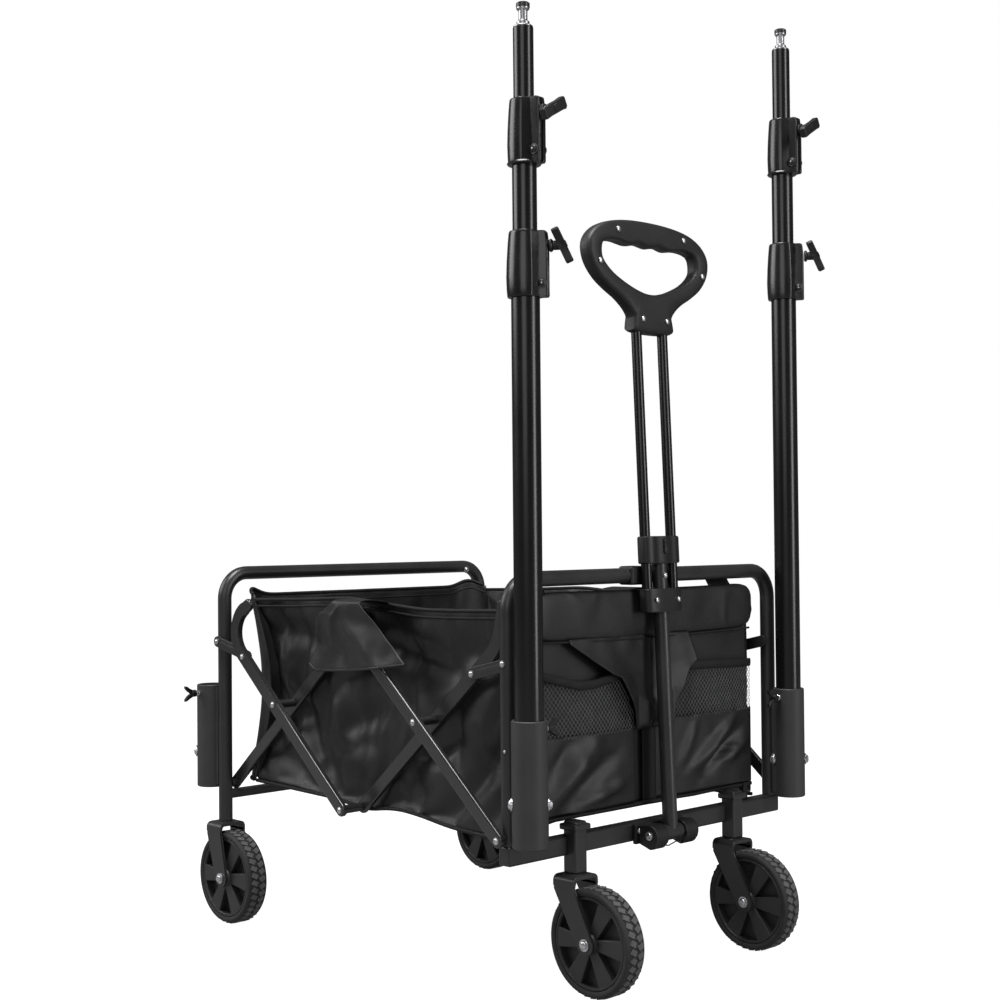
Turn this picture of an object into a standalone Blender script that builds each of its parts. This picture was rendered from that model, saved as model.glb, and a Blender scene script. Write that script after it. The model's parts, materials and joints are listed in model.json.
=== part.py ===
# Folding camp wagon: two end hoops joined by scissor sides, a fabric basket, a pull handle,
# two swivelling and two fixed wheels, and two telescopic stand poles in corner sockets.
# Metres, +Z up, the ground at z = 0, the front (handle end) towards -Y.
import math

import bmesh
import bpy
from mathutils import Matrix, Vector

# Facets of round pieces
WHEEL_SIDES = 20
TUBE_SIDES = 16
PIN_SIDES = 8

# Clearances
SEAT = 0.0003  # between pieces that are fixed on each other
RUN = 0.0005  # between pieces that turn or slide on each other

# Wheels and forks
WHEEL_RADIUS = 0.068
TYRE_WIDTH = 0.032
TYRE_DEPTH = 0.0115
TYRE_SHOULDER = 0.0048  # widest ring of the tyre, below the tread
TYRE_FOOT = 0.0272  # tyre width at the rim
TREAD_WIDTH = 0.0224
RIM_WIDTH = 0.026
RIM_LIP = 0.009
WEB_WIDTH = 0.012
HUB_RADIUS = 0.014
HUB_WIDTH = 0.036
SPOKE_COUNT = 6
SPOKE_WIDTH = 0.014
AXLE_RADIUS = 0.004
AXLE_HEAD = 0.0065
HEAD_TALL = 0.005
FORK_PLATE = 0.004
FORK_DEPTH = 0.036
FORK_END_RADIUS = 0.0135
TYRE_HEADROOM = 0.0075
CASTER_SPREAD = 0.158  # caster stems from the middle, across
CASTER_AHEAD = 0.0125  # caster stems ahead of the cross tube's centre
CASTER_TRAIL = 0.0355
REAR_TRAIL = 0.018
STEM_RADIUS = 0.006
STEM_TALL = 0.050
HOUSING_SIZE = 0.022
HOUSING_DROP = 0.0325
HOUSING_RISE = 0.033
CAP_SIZE = 0.029
CAP_TALL = 0.008
CAP_DROP = 0.0032  # from the top of a caster housing

# End hoops and cross tubes
LEG_SPAN = 0.520  # between leg centres, across
LEG_RUN = 0.612  # between leg centres, front to rear
TUBE = 0.020
TUBE_EDGE = 0.0025
HOOP_BEND = 0.038
HOOP_EDGE = 0.0058  # makes the hoop's tube about round
HOOP_RISE = 0.3365  # top bar's centre above the cross tubes' centre
CROSS_TALL = 0.024  # front cross tube
REAR_CROSS_TALL = 0.012
REAR_CROSS_GAP = 0.001  # from the rear cross tube to the bars' round ends above it

# Scissor sides
PIVOT_RISE = 0.0226  # bottom pivots above the cross tubes' centre
SCISSOR_RISE = 0.1304  # crossing pivots above the bottom pivots
FOLD_TURN = math.radians(33.0)
BAR_WIDTH = 0.018
BAR_THICK = 0.008
BAR_EDGE = 0.0025
OUTER_GAP = 0.005  # from a leg's outer face to the outer bars
INNER_GAP = 0.0045  # from a leg's inner face to the inner bars
PIN_RADIUS = 0.0037
SPACER_RADIUS = 0.0075
PIN_DEPTH = 0.0065  # how far a pin reaches into a leg
# Bent upper end of a front and of a rear falling bar: straight stretch above the crossing
# pivot, bend radius, turn and straight tip
FRONT_HOOK = (0.135, 0.055, math.radians(40.0), 0.030)
REAR_HOOK = (0.105, 0.040, math.radians(110.0), 0.012)
LINK_REACH = 0.0985  # from the crossing pivot to the link's pivot on a falling bar
LINK_WIDTH = 0.016

# Pole sockets and their wing screws
SOCKET_RADIUS = 0.022
SOCKET_WALL = 0.004
SOCKET_OFFSET = 0.036  # from a leg's centre, outwards along Y
SOCKET_FOOT = 0.016  # above the cross tubes' centre
SOCKET_TALL = 0.153
SOCKET_WEB = 0.014
STOP_RISE = 0.052  # the through bolt above the socket's foot
BOLT_RADIUS = 0.004
SCREW_DROP = 0.012  # wing screw below the socket's mouth
SCREW_RADIUS = 0.003
SCREW_BOSS = 0.0055
SCREW_BOSS_START = 0.027
SCREW_BOSS_END = 0.037
WING_END = 0.048
WING_TALL = 0.024
WING_THICK = 0.004

# Telescopic stand poles: lower, middle and top tubes
POLE_RADII = (0.0175, 0.015, 0.0125)
POLE_WALL = 0.002
POLE_FOOT_GAP = 0.0005
LOWER_TALL = 0.645
COLLAR_TALL = 0.080
COLLAR_WALL = 0.0045
COLLAR_SWELL = 0.001
COLLAR_SEAT = 0.040  # how far a tube's end reaches into its collar
MIDDLE_SHOW = 0.080  # middle tube between the two collars, left pole
MIDDLE_BURIED = 0.400
TOP_SHOW = 0.088
TOP_BURIED = 0.420
SPIGOT_RADIUS = 0.008
SPIGOT_NECK = 0.0055
SPIGOT_TALL = 0.0305
RIGHT_LIFT = 0.0465  # how much further the right pole is pulled out
RIGHT_MIDDLE_MORE = 0.019
RIGHT_TOP_MORE = 0.013
LOWER_KNOB_TURN = math.radians(-55.0)  # direction of the clamp knobs, from +X
UPPER_KNOB_TURN = math.radians(-84.0)
EAR_REACH = 0.029
EAR_WIDTH = 0.015
KNOB_DROP = 0.018
KNOB_BOSS = 0.008
KNOB_BOSS_END = 0.041
KNOB_BAR_END = 0.050
KNOB_BAR_TALL = 0.046
KNOB_BAR_WIDTH = 0.013
KNOB_BAR_EDGE = 0.002
LOWER_KNOB_LEAN = math.radians(25.0)
UPPER_KNOB_LEAN = math.radians(-61.0)

# Pull handle
HANDLE_REACH = 0.0345  # hinge axis ahead of the front legs' centre
STEM_TUBE_RADIUS = 0.010
KNUCKLE_RADIUS = 0.0115
KNUCKLE_WIDTH = 0.035
BRACKET_WIDTH = 0.096
BRACKET_PLATE = 0.006
BRACKET_LOBE = 0.013
HINGE_PIN = 0.004
SLEEVE_FOOT = 0.352
SLEEVE_TALL = 0.036
SLEEVE_WIDTH = 0.070
SLEEVE_DEPTH = 0.026
STEM_ENGAGE = 0.009
BLOCK_FOOT = 0.288
BLOCK_TALL = 0.031
BLOCK_BASE = 0.0031  # material under the rods
ROD_RADIUS = 0.007
ROD_SPREAD = 0.026
ROD_BURIED = 0.026
BUTTON_WIDTH = 0.008
BUTTON_TALL = 0.019
BUTTON_THICK = 0.007
BUTTON_PROUD = 0.0025
BUTTON_RECESS = 0.0075
BUTTON_RISE = 0.004  # above the stem's end
GRIP_FOOT = 0.658
GRIP_TALL = 0.1485
GRIP_HALF = 0.1215
GRIP_NECK = 0.0355
GRIP_DEPTH = 0.023
GRIP_EDGE = 0.007
GRIP_BAR = 0.0315
GRIP_LIMB = 0.0274

# Fabric basket
CLOTH = 0.006
BASKET_GAP = 0.0015  # from the inner bars to the cloth
BASKET_LIFT = 0.0015  # cloth above the caster housings
SIDE_TOP = 0.300
PANEL_TOP_GAP = 0.010  # below the hoop's top bar, in the middle
PANEL_TAB = (0.096, 0.071, 0.020)  # where the raised corners start and end, from the sides
BAND_TALL = 0.062
BAND_PROUD = 0.006
POCKET_TALL = 0.090
POCKET_PROUD = 0.008
POCKET_START = 0.035  # from the middle, across
POCKET_INSET = 0.010  # from the sides

# Places worked out from the sizes above
BASE = 2 * WHEEL_RADIUS + TYRE_HEADROOM + FORK_PLATE + RUN + HOUSING_DROP
LEG_X = LEG_SPAN / 2
HALF_TUBE = TUBE / 2
FRONT_REACH = CASTER_AHEAD + CASTER_TRAIL + WHEEL_RADIUS
REAR_REACH = SOCKET_OFFSET + SOCKET_RADIUS
FRONT = -LEG_RUN / 2 + (FRONT_REACH - REAR_REACH) / 2
REAR = FRONT + LEG_RUN
HOOP_Z = BASE + HOOP_RISE
RUN_QUARTER = LEG_RUN / 4
HALF_BAR = math.hypot(RUN_QUARTER, SCISSOR_RISE)
REST_LEAN = math.atan2(SCISSOR_RISE, RUN_QUARTER)
PIVOT_Z = BASE + PIVOT_RISE
CROSS_Z = PIVOT_Z + SCISSOR_RISE
APEX_Z = PIVOT_Z + 2 * SCISSOR_RISE
MIDDLE = (FRONT + REAR) / 2
SINES = math.sin(REST_LEAN) + math.sin(REST_LEAN + FOLD_TURN)
LINK_Z = PIVOT_Z + 2 * HALF_BAR * LINK_REACH * SINES / (HALF_BAR + LINK_REACH)
OUTER = (LEG_X + HALF_TUBE + OUTER_GAP, LEG_X + HALF_TUBE + OUTER_GAP + BAR_THICK)
INNER = (LEG_X - HALF_TUBE - INNER_GAP - BAR_THICK, LEG_X - HALF_TUBE - INNER_GAP)
BASKET_HALF = INNER[0] - BASKET_GAP
POLE_BORE = SOCKET_RADIUS - SOCKET_WALL
SOCKET_Z = BASE + SOCKET_FOOT
SCREW_Z = SOCKET_Z + SOCKET_TALL - SCREW_DROP
POLE_Z = SOCKET_Z + STOP_RISE + BOLT_RADIUS + POLE_FOOT_GAP
HINGE = Vector((0, FRONT - HANDLE_REACH, BASE))
HANDLE_LEAN = math.atan2(HANDLE_REACH - HALF_TUBE - STEM_TUBE_RADIUS - SEAT, HOOP_RISE)
HANDLE_FRAME = Matrix.Translation(HINGE) @ Matrix.Rotation(-HANDLE_LEAN, 4, "X")


# Scene, finishes and bodies
def clear_scene():
    for old in list(bpy.data.objects):
        bpy.data.objects.remove(old, do_unlink=True)


def finish(name, colour, roughness, metallic=0.0):
    made = bpy.data.materials.new(name)
    made.use_nodes = True
    shader = made.node_tree.nodes["Principled BSDF"]
    shader.inputs["Base Color"].default_value = (*colour, 1.0)
    shader.inputs["Roughness"].default_value = roughness
    shader.inputs["Metallic"].default_value = metallic
    return made


def body_empty(name, place, parent=None):
    empty = bpy.data.objects.new(name + "_body", None)
    empty.empty_display_size = 0.03
    bpy.context.scene.collection.objects.link(empty)
    empty["place"] = tuple(place)
    empty.location = Vector(place)
    if parent:
        empty.parent = parent
        empty.location = Vector(place) - Vector(parent["place"])
    return empty


# Shapes, each made in world coordinates as an object of its own
def shape_object(builder):
    bmesh.ops.remove_doubles(builder, verts=builder.verts, dist=1e-6)
    bmesh.ops.recalc_face_normals(builder, faces=builder.faces)
    mesh = bpy.data.meshes.new("shape")
    builder.to_mesh(mesh)
    builder.free()
    made = bpy.data.objects.new("shape", mesh)
    bpy.context.scene.collection.objects.link(made)
    return made


def block(low, high, edge=0.0):
    low, high = Vector(low), Vector(high)
    builder = bmesh.new()
    bmesh.ops.create_cube(builder, size=1.0)
    size = high - low
    bmesh.ops.scale(builder, vec=size, verts=builder.verts)
    bmesh.ops.translate(builder, vec=(low + high) / 2, verts=builder.verts)
    if edge:
        bmesh.ops.bevel(builder, geom=builder.edges, offset=edge, segments=1, affect="EDGES")
    return shape_object(builder)


def on_axis(axis, u, v, along):
    return ((along, u, v), (u, along, v), (u, v, along))[axis]


def prism(outline, axis, low, high, edge=0.0):
    builder = bmesh.new()
    rings = [[builder.verts.new(on_axis(axis, u, v, end)) for u, v in outline] for end in (low, high)]
    ends = [builder.faces.new(ring) for ring in rings]
    for i in range(len(outline)):
        j = (i + 1) % len(outline)
        builder.faces.new((rings[0][i], rings[0][j], rings[1][j], rings[1][i]))
    if edge:
        rims = list({rim for end in ends for rim in end.edges})
        bmesh.ops.bevel(builder, geom=rims, offset=edge, segments=1, affect="EDGES")
    return shape_object(builder)


def rod(start, end, radius, sides=TUBE_SIDES):
    start, end = Vector(start), Vector(end)
    builder = bmesh.new()
    turn = (end - start).to_track_quat("Z", "Y").to_matrix().to_4x4()
    place = Matrix.Translation((start + end) / 2) @ turn
    bmesh.ops.create_cone(
        builder, cap_ends=True, segments=sides, radius1=radius, radius2=radius,
        depth=(end - start).length, matrix=place,
    )
    return shape_object(builder)


def turned(profile, sides, closed):
    # Turns (radius, height) points about Z; a closed profile goes round a wall.
    builder = bmesh.new()
    rings = []
    for radius, height in profile:
        if radius == 0:
            rings.append([builder.verts.new((0, 0, height))] * sides)
            continue
        ring = []
        for step in range(sides):
            angle = 2 * math.pi * step / sides
            ring.append(builder.verts.new((radius * math.cos(angle), radius * math.sin(angle), height)))
        rings.append(ring)
    pairs = list(zip(rings, rings[1:])) + ([(rings[-1], rings[0])] if closed else [])
    for lower, upper in pairs:
        for i in range(sides):
            j = (i + 1) % sides
            corners = dict.fromkeys((lower[i], lower[j], upper[j], upper[i]))
            builder.faces.new(tuple(corners))
    return shape_object(builder)


def swept_tube(stations, width, depth, edge):
    # A tube of rectangular section along stations of (x, z, heading), in the plane y = 0.
    half, deep = width / 2, depth / 2
    section = []
    for u, v in ((half, deep), (-half, deep), (-half, -deep), (half, -deep)):
        inset_u, inset_v = u - math.copysign(edge, u), v - math.copysign(edge, v)
        pair = [(u, inset_v), (inset_u, v)]
        section += pair if u * v > 0 else pair[::-1]
    builder = bmesh.new()
    rings = []
    for x, z, heading in stations:
        side = (math.sin(heading), -math.cos(heading))
        rings.append([builder.verts.new((x + u * side[0], v, z + u * side[1])) for u, v in section])
    builder.faces.new(rings[0])
    builder.faces.new(rings[-1])
    for lower, upper in zip(rings, rings[1:]):
        for i in range(len(section)):
            j = (i + 1) % len(section)
            builder.faces.new((lower[i], lower[j], upper[j], upper[i]))
    return shape_object(builder)


def ribbon(path, half, steps=4):
    # Outline of a strip of constant width along a path of points, with round ends.
    points = [Vector(p) for p in path]
    headings = []
    for i in range(len(points)):
        before, after = points[max(i - 1, 0)], points[min(i + 1, len(points) - 1)]
        headings.append(math.atan2(after.y - before.y, after.x - before.x))
    left = [p + half * Vector((-math.sin(h), math.cos(h))) for p, h in zip(points, headings)]
    right = [p - half * Vector((-math.sin(h), math.cos(h))) for p, h in zip(points, headings)]

    def cap(centre, start):
        turns = [start - math.pi * step / steps for step in range(1, steps)]
        return [centre + half * Vector((math.cos(t), math.sin(t))) for t in turns]

    outline = left + cap(points[-1], headings[-1] + math.pi / 2)
    outline += right[::-1] + cap(points[0], headings[0] - math.pi / 2)
    return [tuple(p) for p in outline]


def smooth_loop(points, steps):
    # Closed curve through the points.
    count = len(points)
    corners = [Vector(p) for p in points]
    curve = []
    for i in range(count):
        a, b, c, d = (corners[(i + k) % count] for k in (-1, 0, 1, 2))
        for step in range(steps):
            t = step / steps
            square = (2 * a - 5 * b + 4 * c - d) * t**2
            cube = (3 * b - a - 3 * c + d) * t**3
            curve.append(tuple((2 * b + (c - a) * t + square + cube) / 2))
    return curve


def moved(shape, matrix):
    shape.data.transform(matrix)
    return shape


def combine(base, other, operation):
    modifier = base.modifiers.new("combine", "BOOLEAN")
    modifier.operation = operation
    modifier.solver = "EXACT"
    modifier.object = other
    graph = bpy.context.evaluated_depsgraph_get()
    mesh = bpy.data.meshes.new_from_object(base.evaluated_get(graph))
    base.modifiers.clear()
    base.data = mesh
    bpy.data.objects.remove(other, do_unlink=True)


def piece(name, body, material, base, joins=(), cuts=()):
    # Joins and cuts the shapes into one node, with its origin at its body's place.
    for other in joins:
        combine(base, other, "UNION")
    for other in cuts:
        combine(base, other, "DIFFERENCE")
    base.name = base.data.name = name
    base.data.transform(Matrix.Translation(-Vector(body["place"])))
    base.data.materials.clear()
    base.data.materials.append(material)
    base.data.shade_smooth()
    base.data.set_sharp_from_angle(angle=math.radians(35))
    base.parent = body
    return base


def across(place, low, high, radius, sides=PIN_SIDES):
    # A pin along X at a (y, z) place.
    return rod((low, *place), (high, *place), radius, sides)


# End hoops, cross tubes and handle bracket
def hoop_shape(y, foot):
    steps = 5
    corner_x, corner_z = LEG_X - HOOP_BEND, HOOP_Z - HOOP_BEND
    stations = [(-LEG_X, foot, math.pi / 2)]
    for side, start in ((-1, math.pi), (1, math.pi / 2)):
        for step in range(steps + 1):
            angle = start - math.pi / 2 * step / steps
            x = side * corner_x + HOOP_BEND * math.cos(angle)
            stations.append((x, corner_z + HOOP_BEND * math.sin(angle), angle - math.pi / 2))
    stations.append((LEG_X, foot, -math.pi / 2))
    return moved(swept_tube(stations, TUBE, TUBE, HOOP_EDGE), Matrix.Translation((0, y, 0)))


def leg_holes(y, lower_outside):
    # Blind pin holes for the bottom pivot and for the link, on opposite faces of each leg.
    depth = PIN_DEPTH + RUN
    holes = []
    for side in (-1, 1):
        for place, outside in (((y, PIVOT_Z), lower_outside), ((y, LINK_Z), not lower_outside)):
            face = LEG_X + (HALF_TUBE if outside else -HALF_TUBE)
            inwards = -1 if outside else 1
            ends = sorted((side * (face - inwards * depth), side * (face + inwards * depth)))
            holes.append(across(place, *ends, PIN_RADIUS + RUN))
    return holes


def cross_tube(y, foot, tall):
    low = (-LEG_X - HALF_TUBE, y - HALF_TUBE, foot)
    return block(low, (LEG_X + HALF_TUBE, y + HALF_TUBE, foot + tall), TUBE_EDGE)


def make_front_frame(body, steel, moulded):
    foot = BASE - HALF_TUBE + CROSS_TALL + SEAT
    piece("front_hoop", body, steel, hoop_shape(FRONT, foot), cuts=leg_holes(FRONT, True))
    joins, cuts = [], []
    for side in (-1, 1):
        x, y = side * CASTER_SPREAD, FRONT - CASTER_AHEAD
        half, cap = HOUSING_SIZE / 2, CAP_SIZE / 2
        top = BASE + HOUSING_RISE
        low = (x - half, y - half, BASE - HOUSING_DROP)
        joins.append(block(low, (x + half, y + half, top), TUBE_EDGE))
        low = (x - cap, y - cap, top - CAP_DROP - CAP_TALL)
        joins.append(block(low, (x + cap, y + cap, top - CAP_DROP), TUBE_EDGE))
        bore_top = BASE - HOUSING_DROP + STEM_TALL + RUN
        cuts.append(rod((x, y, BASE - 2 * HOUSING_DROP), (x, y, bore_top), STEM_RADIUS + RUN))
    tube = cross_tube(FRONT, BASE - HALF_TUBE, CROSS_TALL)
    piece("front_cross_tube", body, steel, tube, joins, cuts)

    face = FRONT - HALF_TUBE - SEAT
    half = BRACKET_WIDTH / 2
    knuckle = KNUCKLE_WIDTH / 2 + RUN
    low = (-half, face - BRACKET_PLATE, BASE - BRACKET_LOBE)
    inset = BRACKET_PLATE / 4
    plate = block(low, (half, face, BASE + BRACKET_LOBE), inset)
    lobes = []
    for side in (-1, 1):
        turns = [math.pi / 2 + math.pi * step / 8 for step in range(9)]
        outline = [(HINGE.y + BRACKET_LOBE * math.cos(t), BASE + BRACKET_LOBE * math.sin(t)) for t in turns]
        root = face - BRACKET_PLATE / 2
        outline += [(root, BASE - BRACKET_LOBE + inset), (root, BASE + BRACKET_LOBE - inset)]
        ends = sorted((side * knuckle, side * (half - inset)))
        lobes.append(prism(outline, 0, *ends))
    pin = across((HINGE.y, BASE), -half + BRACKET_PLATE, half - BRACKET_PLATE, HINGE_PIN)
    piece("handle_bracket", body, moulded, plate, lobes + [pin])


def make_rear_frame(body, steel):
    foot = 2 * WHEEL_RADIUS + TYRE_HEADROOM + FORK_PLATE + SEAT
    hoop = hoop_shape(REAR, foot)
    tube_foot = PIVOT_Z - BAR_WIDTH / 2 - REAR_CROSS_GAP - REAR_CROSS_TALL
    tube = cross_tube(REAR, tube_foot, REAR_CROSS_TALL)
    piece("rear_frame", body, steel, hoop, [tube], leg_holes(REAR, False))


# Wheels and forks
def wheel_window(turn):
    inner = HUB_RADIUS + SPOKE_WIDTH / 2
    outer = WHEEL_RADIUS - TYRE_DEPTH - RIM_LIP - SPOKE_WIDTH / 4
    pitch = math.pi / SPOKE_COUNT
    spread_in = pitch - math.asin(SPOKE_WIDTH / 2 / inner)
    spread_out = pitch - math.asin(SPOKE_WIDTH / 2 / outer)
    places = [(inner, -spread_in), (outer, -spread_out), (outer, 0)]
    places += [(outer, spread_out), (inner, spread_in)]
    outline = [(r * math.cos(turn + a), r * math.sin(turn + a)) for r, a in places]
    return prism(outline, 2, -WEB_WIDTH, WEB_WIDTH)


def make_wheel(name, body, place, moulded, rubber):
    upright = Matrix.Translation(place) @ Matrix.Rotation(math.pi / 2, 4, "Y")
    seat = WHEEL_RADIUS - TYRE_DEPTH
    hub, rim, web = HUB_WIDTH / 2, RIM_WIDTH / 2, WEB_WIDTH / 2
    lip = seat - SEAT - RIM_LIP
    bore = AXLE_RADIUS + RUN
    half = [(bore, hub), (HUB_RADIUS, hub), (HUB_RADIUS, web), (lip, web), (lip, rim), (seat - SEAT, rim)]
    profile = half + [(r, -z) for r, z in reversed(half)]
    windows = [wheel_window(2 * math.pi * (k + 0.5) / SPOKE_COUNT) for k in range(SPOKE_COUNT)]
    disc = turned(profile, WHEEL_SIDES, True)
    for window in windows:
        combine(disc, window, "DIFFERENCE")
    piece(name + "_rim", body, moulded, moved(disc, upright))
    width = TYRE_WIDTH / 2
    shoulder = WHEEL_RADIUS - TYRE_SHOULDER
    wall = [(seat, TYRE_FOOT / 2), (shoulder, width), (WHEEL_RADIUS, TREAD_WIDTH / 2)]
    tread = wall + [(r, -z) for r, z in reversed(wall)]
    piece(name + "_tyre", body, rubber, moved(turned(tread, WHEEL_SIDES, True), upright))


def make_fork(name, body, x, y, trail, steel, with_stem):
    axle_y, axle_z = y - trail, WHEEL_RADIUS
    inner = HUB_WIDTH / 2 + RUN
    outer = inner + FORK_PLATE
    top = 2 * WHEEL_RADIUS + TYRE_HEADROOM + FORK_PLATE
    deep = FORK_DEPTH / 2
    crown = block((x - outer, y - deep, top - FORK_PLATE), (x + outer, y + deep, top), FORK_PLATE / 4)
    joins = []
    for side in (-1, 1):
        lean = math.atan2(trail, top - axle_z)
        turns = [math.pi - lean + math.pi * step / 8 for step in range(9)]
        outline = []
        for t in turns:
            outline.append((axle_y + FORK_END_RADIUS * math.cos(t), axle_z + FORK_END_RADIUS * math.sin(t)))
        edge = FORK_PLATE / 4
        shoulder = top - 3 * FORK_PLATE
        outline += [(y + deep - edge, shoulder), (y + deep - edge, top - edge)]
        outline += [(y - deep + edge, top - edge), (y - deep + edge, shoulder)]
        ends = sorted((x + side * inner, x + side * (outer - edge / 4)))
        joins.append(prism(outline, 0, *ends))
    joins.append(across((axle_y, axle_z), x - outer - edge, x + outer + edge, AXLE_RADIUS))
    for side in (-1, 1):
        start = x + side * (outer - FORK_PLATE / 2)
        ends = sorted((start, x + side * (outer + HEAD_TALL)))
        joins.append(across((axle_y, axle_z), *ends, AXLE_HEAD))
    if with_stem:
        stem_top = BASE - HOUSING_DROP + STEM_TALL
        joins.append(rod((x, y, top - FORK_PLATE / 2), (x, y, stem_top), STEM_RADIUS))
    piece(name, body, steel, crown, joins)
    return Vector((x, axle_y, axle_z))


# Scissor bars and links
def rising_path(front):
    end = FRONT if front else REAR
    return [(end, PIVOT_Z), (MIDDLE, APEX_Z)]


def falling_path(front):
    # From the bottom middle pivot up past the crossing, then bent up.
    way = -1 if front else 1
    start, radius, full_turn, tip = FRONT_HOOK if front else REAR_HOOK
    cross = Vector((FRONT + RUN_QUARTER if front else REAR - RUN_QUARTER, CROSS_Z))
    rise = Vector((way * math.cos(REST_LEAN), math.sin(REST_LEAN)))
    bend = cross + start * rise
    centre = bend + radius * Vector((-way * math.sin(REST_LEAN), math.cos(REST_LEAN)))
    steps = 4 if front else 7
    path = [Vector((MIDDLE, PIVOT_Z)), bend]
    for step in range(1, steps + 1):
        turn = REST_LEAN + full_turn * step / steps
        path.append(centre + radius * Vector((way * math.sin(turn), -math.cos(turn))))
    last = REST_LEAN + full_turn
    path.append(path[-1] + tip * Vector((way * math.cos(last), math.sin(last))))
    return [tuple(p) for p in path]


def make_bar(name, body, material, path, layer, side, through=(), holes=(), leg_pin=None):
    # through: pivots where this outer bar carries a spacer and a pin for the inner bar.
    low, high = sorted((side * layer[0], side * layer[1]))
    base = prism(ribbon(path, BAR_WIDTH / 2), 0, low, high, BAR_EDGE)
    overlap = BAR_THICK / 2
    joins, cuts = [], []
    for place in through:
        start = side * (OUTER[0] + overlap)
        joins.append(across(place, *sorted((start, side * (INNER[1] + SEAT))), SPACER_RADIUS))
        joins.append(across(place, *sorted((start, side * (INNER[0] + SEAT))), PIN_RADIUS))
    for place in holes:
        cuts.append(across(place, low - BAR_THICK, high + BAR_THICK, PIN_RADIUS + RUN))
    if leg_pin:
        outside = layer is OUTER
        face = LEG_X + (HALF_TUBE if outside else -HALF_TUBE)
        outwards = 1 if outside else -1
        start = layer[0] + overlap
        boss_end, pin_end = face + outwards * SEAT, face - outwards * PIN_DEPTH
        joins.append(across(leg_pin, *sorted((side * start, side * boss_end)), SPACER_RADIUS))
        joins.append(across(leg_pin, *sorted((side * start, side * pin_end)), PIN_RADIUS))
    piece(name, body, material, base, joins, cuts)


def link_ends(front):
    way = 1 if front else -1
    leg = (FRONT if front else REAR, LINK_Z)
    away = HALF_BAR - LINK_REACH
    height = PIVOT_Z + (HALF_BAR + LINK_REACH) * math.sin(REST_LEAN)
    return leg, (leg[0] + way * away * math.cos(REST_LEAN), height)


def make_link(name, body, material, front, side):
    # Front links lie inside their leg and rear links outside it.
    leg, far = link_ends(front)
    outwards = -1 if front else 1
    face = LEG_X + outwards * HALF_TUBE
    far_face = INNER[1] if front else OUTER[0]
    near, away = face + outwards * SEAT, far_face - outwards * SEAT
    strip = prism(ribbon([leg, far], LINK_WIDTH / 2), 0, *sorted((side * near, side * away)))
    inside = face - outwards * PIN_DEPTH
    pin = across(leg, *sorted((side * (near + away) / 2, side * inside)), PIN_RADIUS)
    piece(name, body, material, strip, [pin])


# Pole sockets, wing screws and stand poles
def socket_place(side, front):
    return Vector((side * LEG_X, FRONT - SOCKET_OFFSET if front else REAR + SOCKET_OFFSET, 0))


def screw_way(side, front):
    return -side if front else side


def make_socket(name, body, steel, side, front):
    top = SOCKET_Z + SOCKET_TALL
    rim = 0.25 * SOCKET_WALL
    profile = [
        (POLE_BORE, SOCKET_Z), (SOCKET_RADIUS, SOCKET_Z), (SOCKET_RADIUS, top - rim),
        (SOCKET_RADIUS - rim, top), (POLE_BORE, top),
    ]
    place = socket_place(side, front)
    tube = moved(turned(profile, TUBE_SIDES, True), Matrix.Translation(place))
    way = 1 if front else -1
    leg_face = SOCKET_OFFSET - HALF_TUBE - SEAT
    ends = sorted((way * (SOCKET_RADIUS - 0.7 * SOCKET_WALL), way * leg_face))
    foot = SOCKET_Z + SOCKET_WALL
    web = block(
        (place.x - SOCKET_WEB / 2, place.y + ends[0], foot),
        (place.x + SOCKET_WEB / 2, place.y + ends[1], top - SOCKET_WALL),
    )
    stop = (place.y, SOCKET_Z + STOP_RISE)
    reach = SOCKET_RADIUS + HEAD_TALL
    joins = [web, across(stop, place.x - reach, place.x + reach, BOLT_RADIUS)]
    for end in (-1, 1):
        start = place.x + end * (SOCKET_RADIUS - 0.5 * SOCKET_WALL)
        joins.append(across(stop, *sorted((start, place.x + end * reach)), AXLE_HEAD))
    out = screw_way(side, front)
    hole_ends = sorted((place.x, place.x + out * 2 * SOCKET_RADIUS))
    hole = across((place.y, SCREW_Z), *hole_ends, SCREW_RADIUS + RUN)
    piece(name, body, steel, tube, joins, [hole])


def make_wing_screw(name, body, moulded, side, front):
    place = socket_place(side, front)
    out = screw_way(side, front)
    middle = (place.y, SCREW_Z)

    def span(start, end):
        return sorted((place.x + out * start, place.x + out * end))

    tip = POLE_RADII[0] + SEAT
    shank = across(middle, *span(tip, (SCREW_BOSS_START + SCREW_BOSS_END) / 2), SCREW_RADIUS, PIN_SIDES)
    boss = across(middle, *span(SCREW_BOSS_START, SCREW_BOSS_END), SCREW_BOSS)
    low, high = span((SCREW_BOSS_START + SCREW_BOSS_END) / 2, WING_END)
    half = WING_TALL / 2
    neck = SCREW_BOSS * 0.8
    inner, outer = (low, high) if out > 0 else (high, low)
    outline = [(inner, -neck), (outer, -half), (outer, half), (inner, neck)]
    outline = [(x, SCREW_Z + z) for x, z in outline]
    wing = prism(outline, 1, place.y - WING_THICK / 2, place.y + WING_THICK / 2)
    piece(name, body, moulded, shank, [boss, wing])


def tube_profile(radius, low, high):
    return [(radius - POLE_WALL, low), (radius, low), (radius, high), (radius - POLE_WALL, high)]


def knob_frame(place, height, turn):
    return Matrix.Translation((place.x, place.y, height)) @ Matrix.Rotation(turn, 4, "Z")


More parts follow.
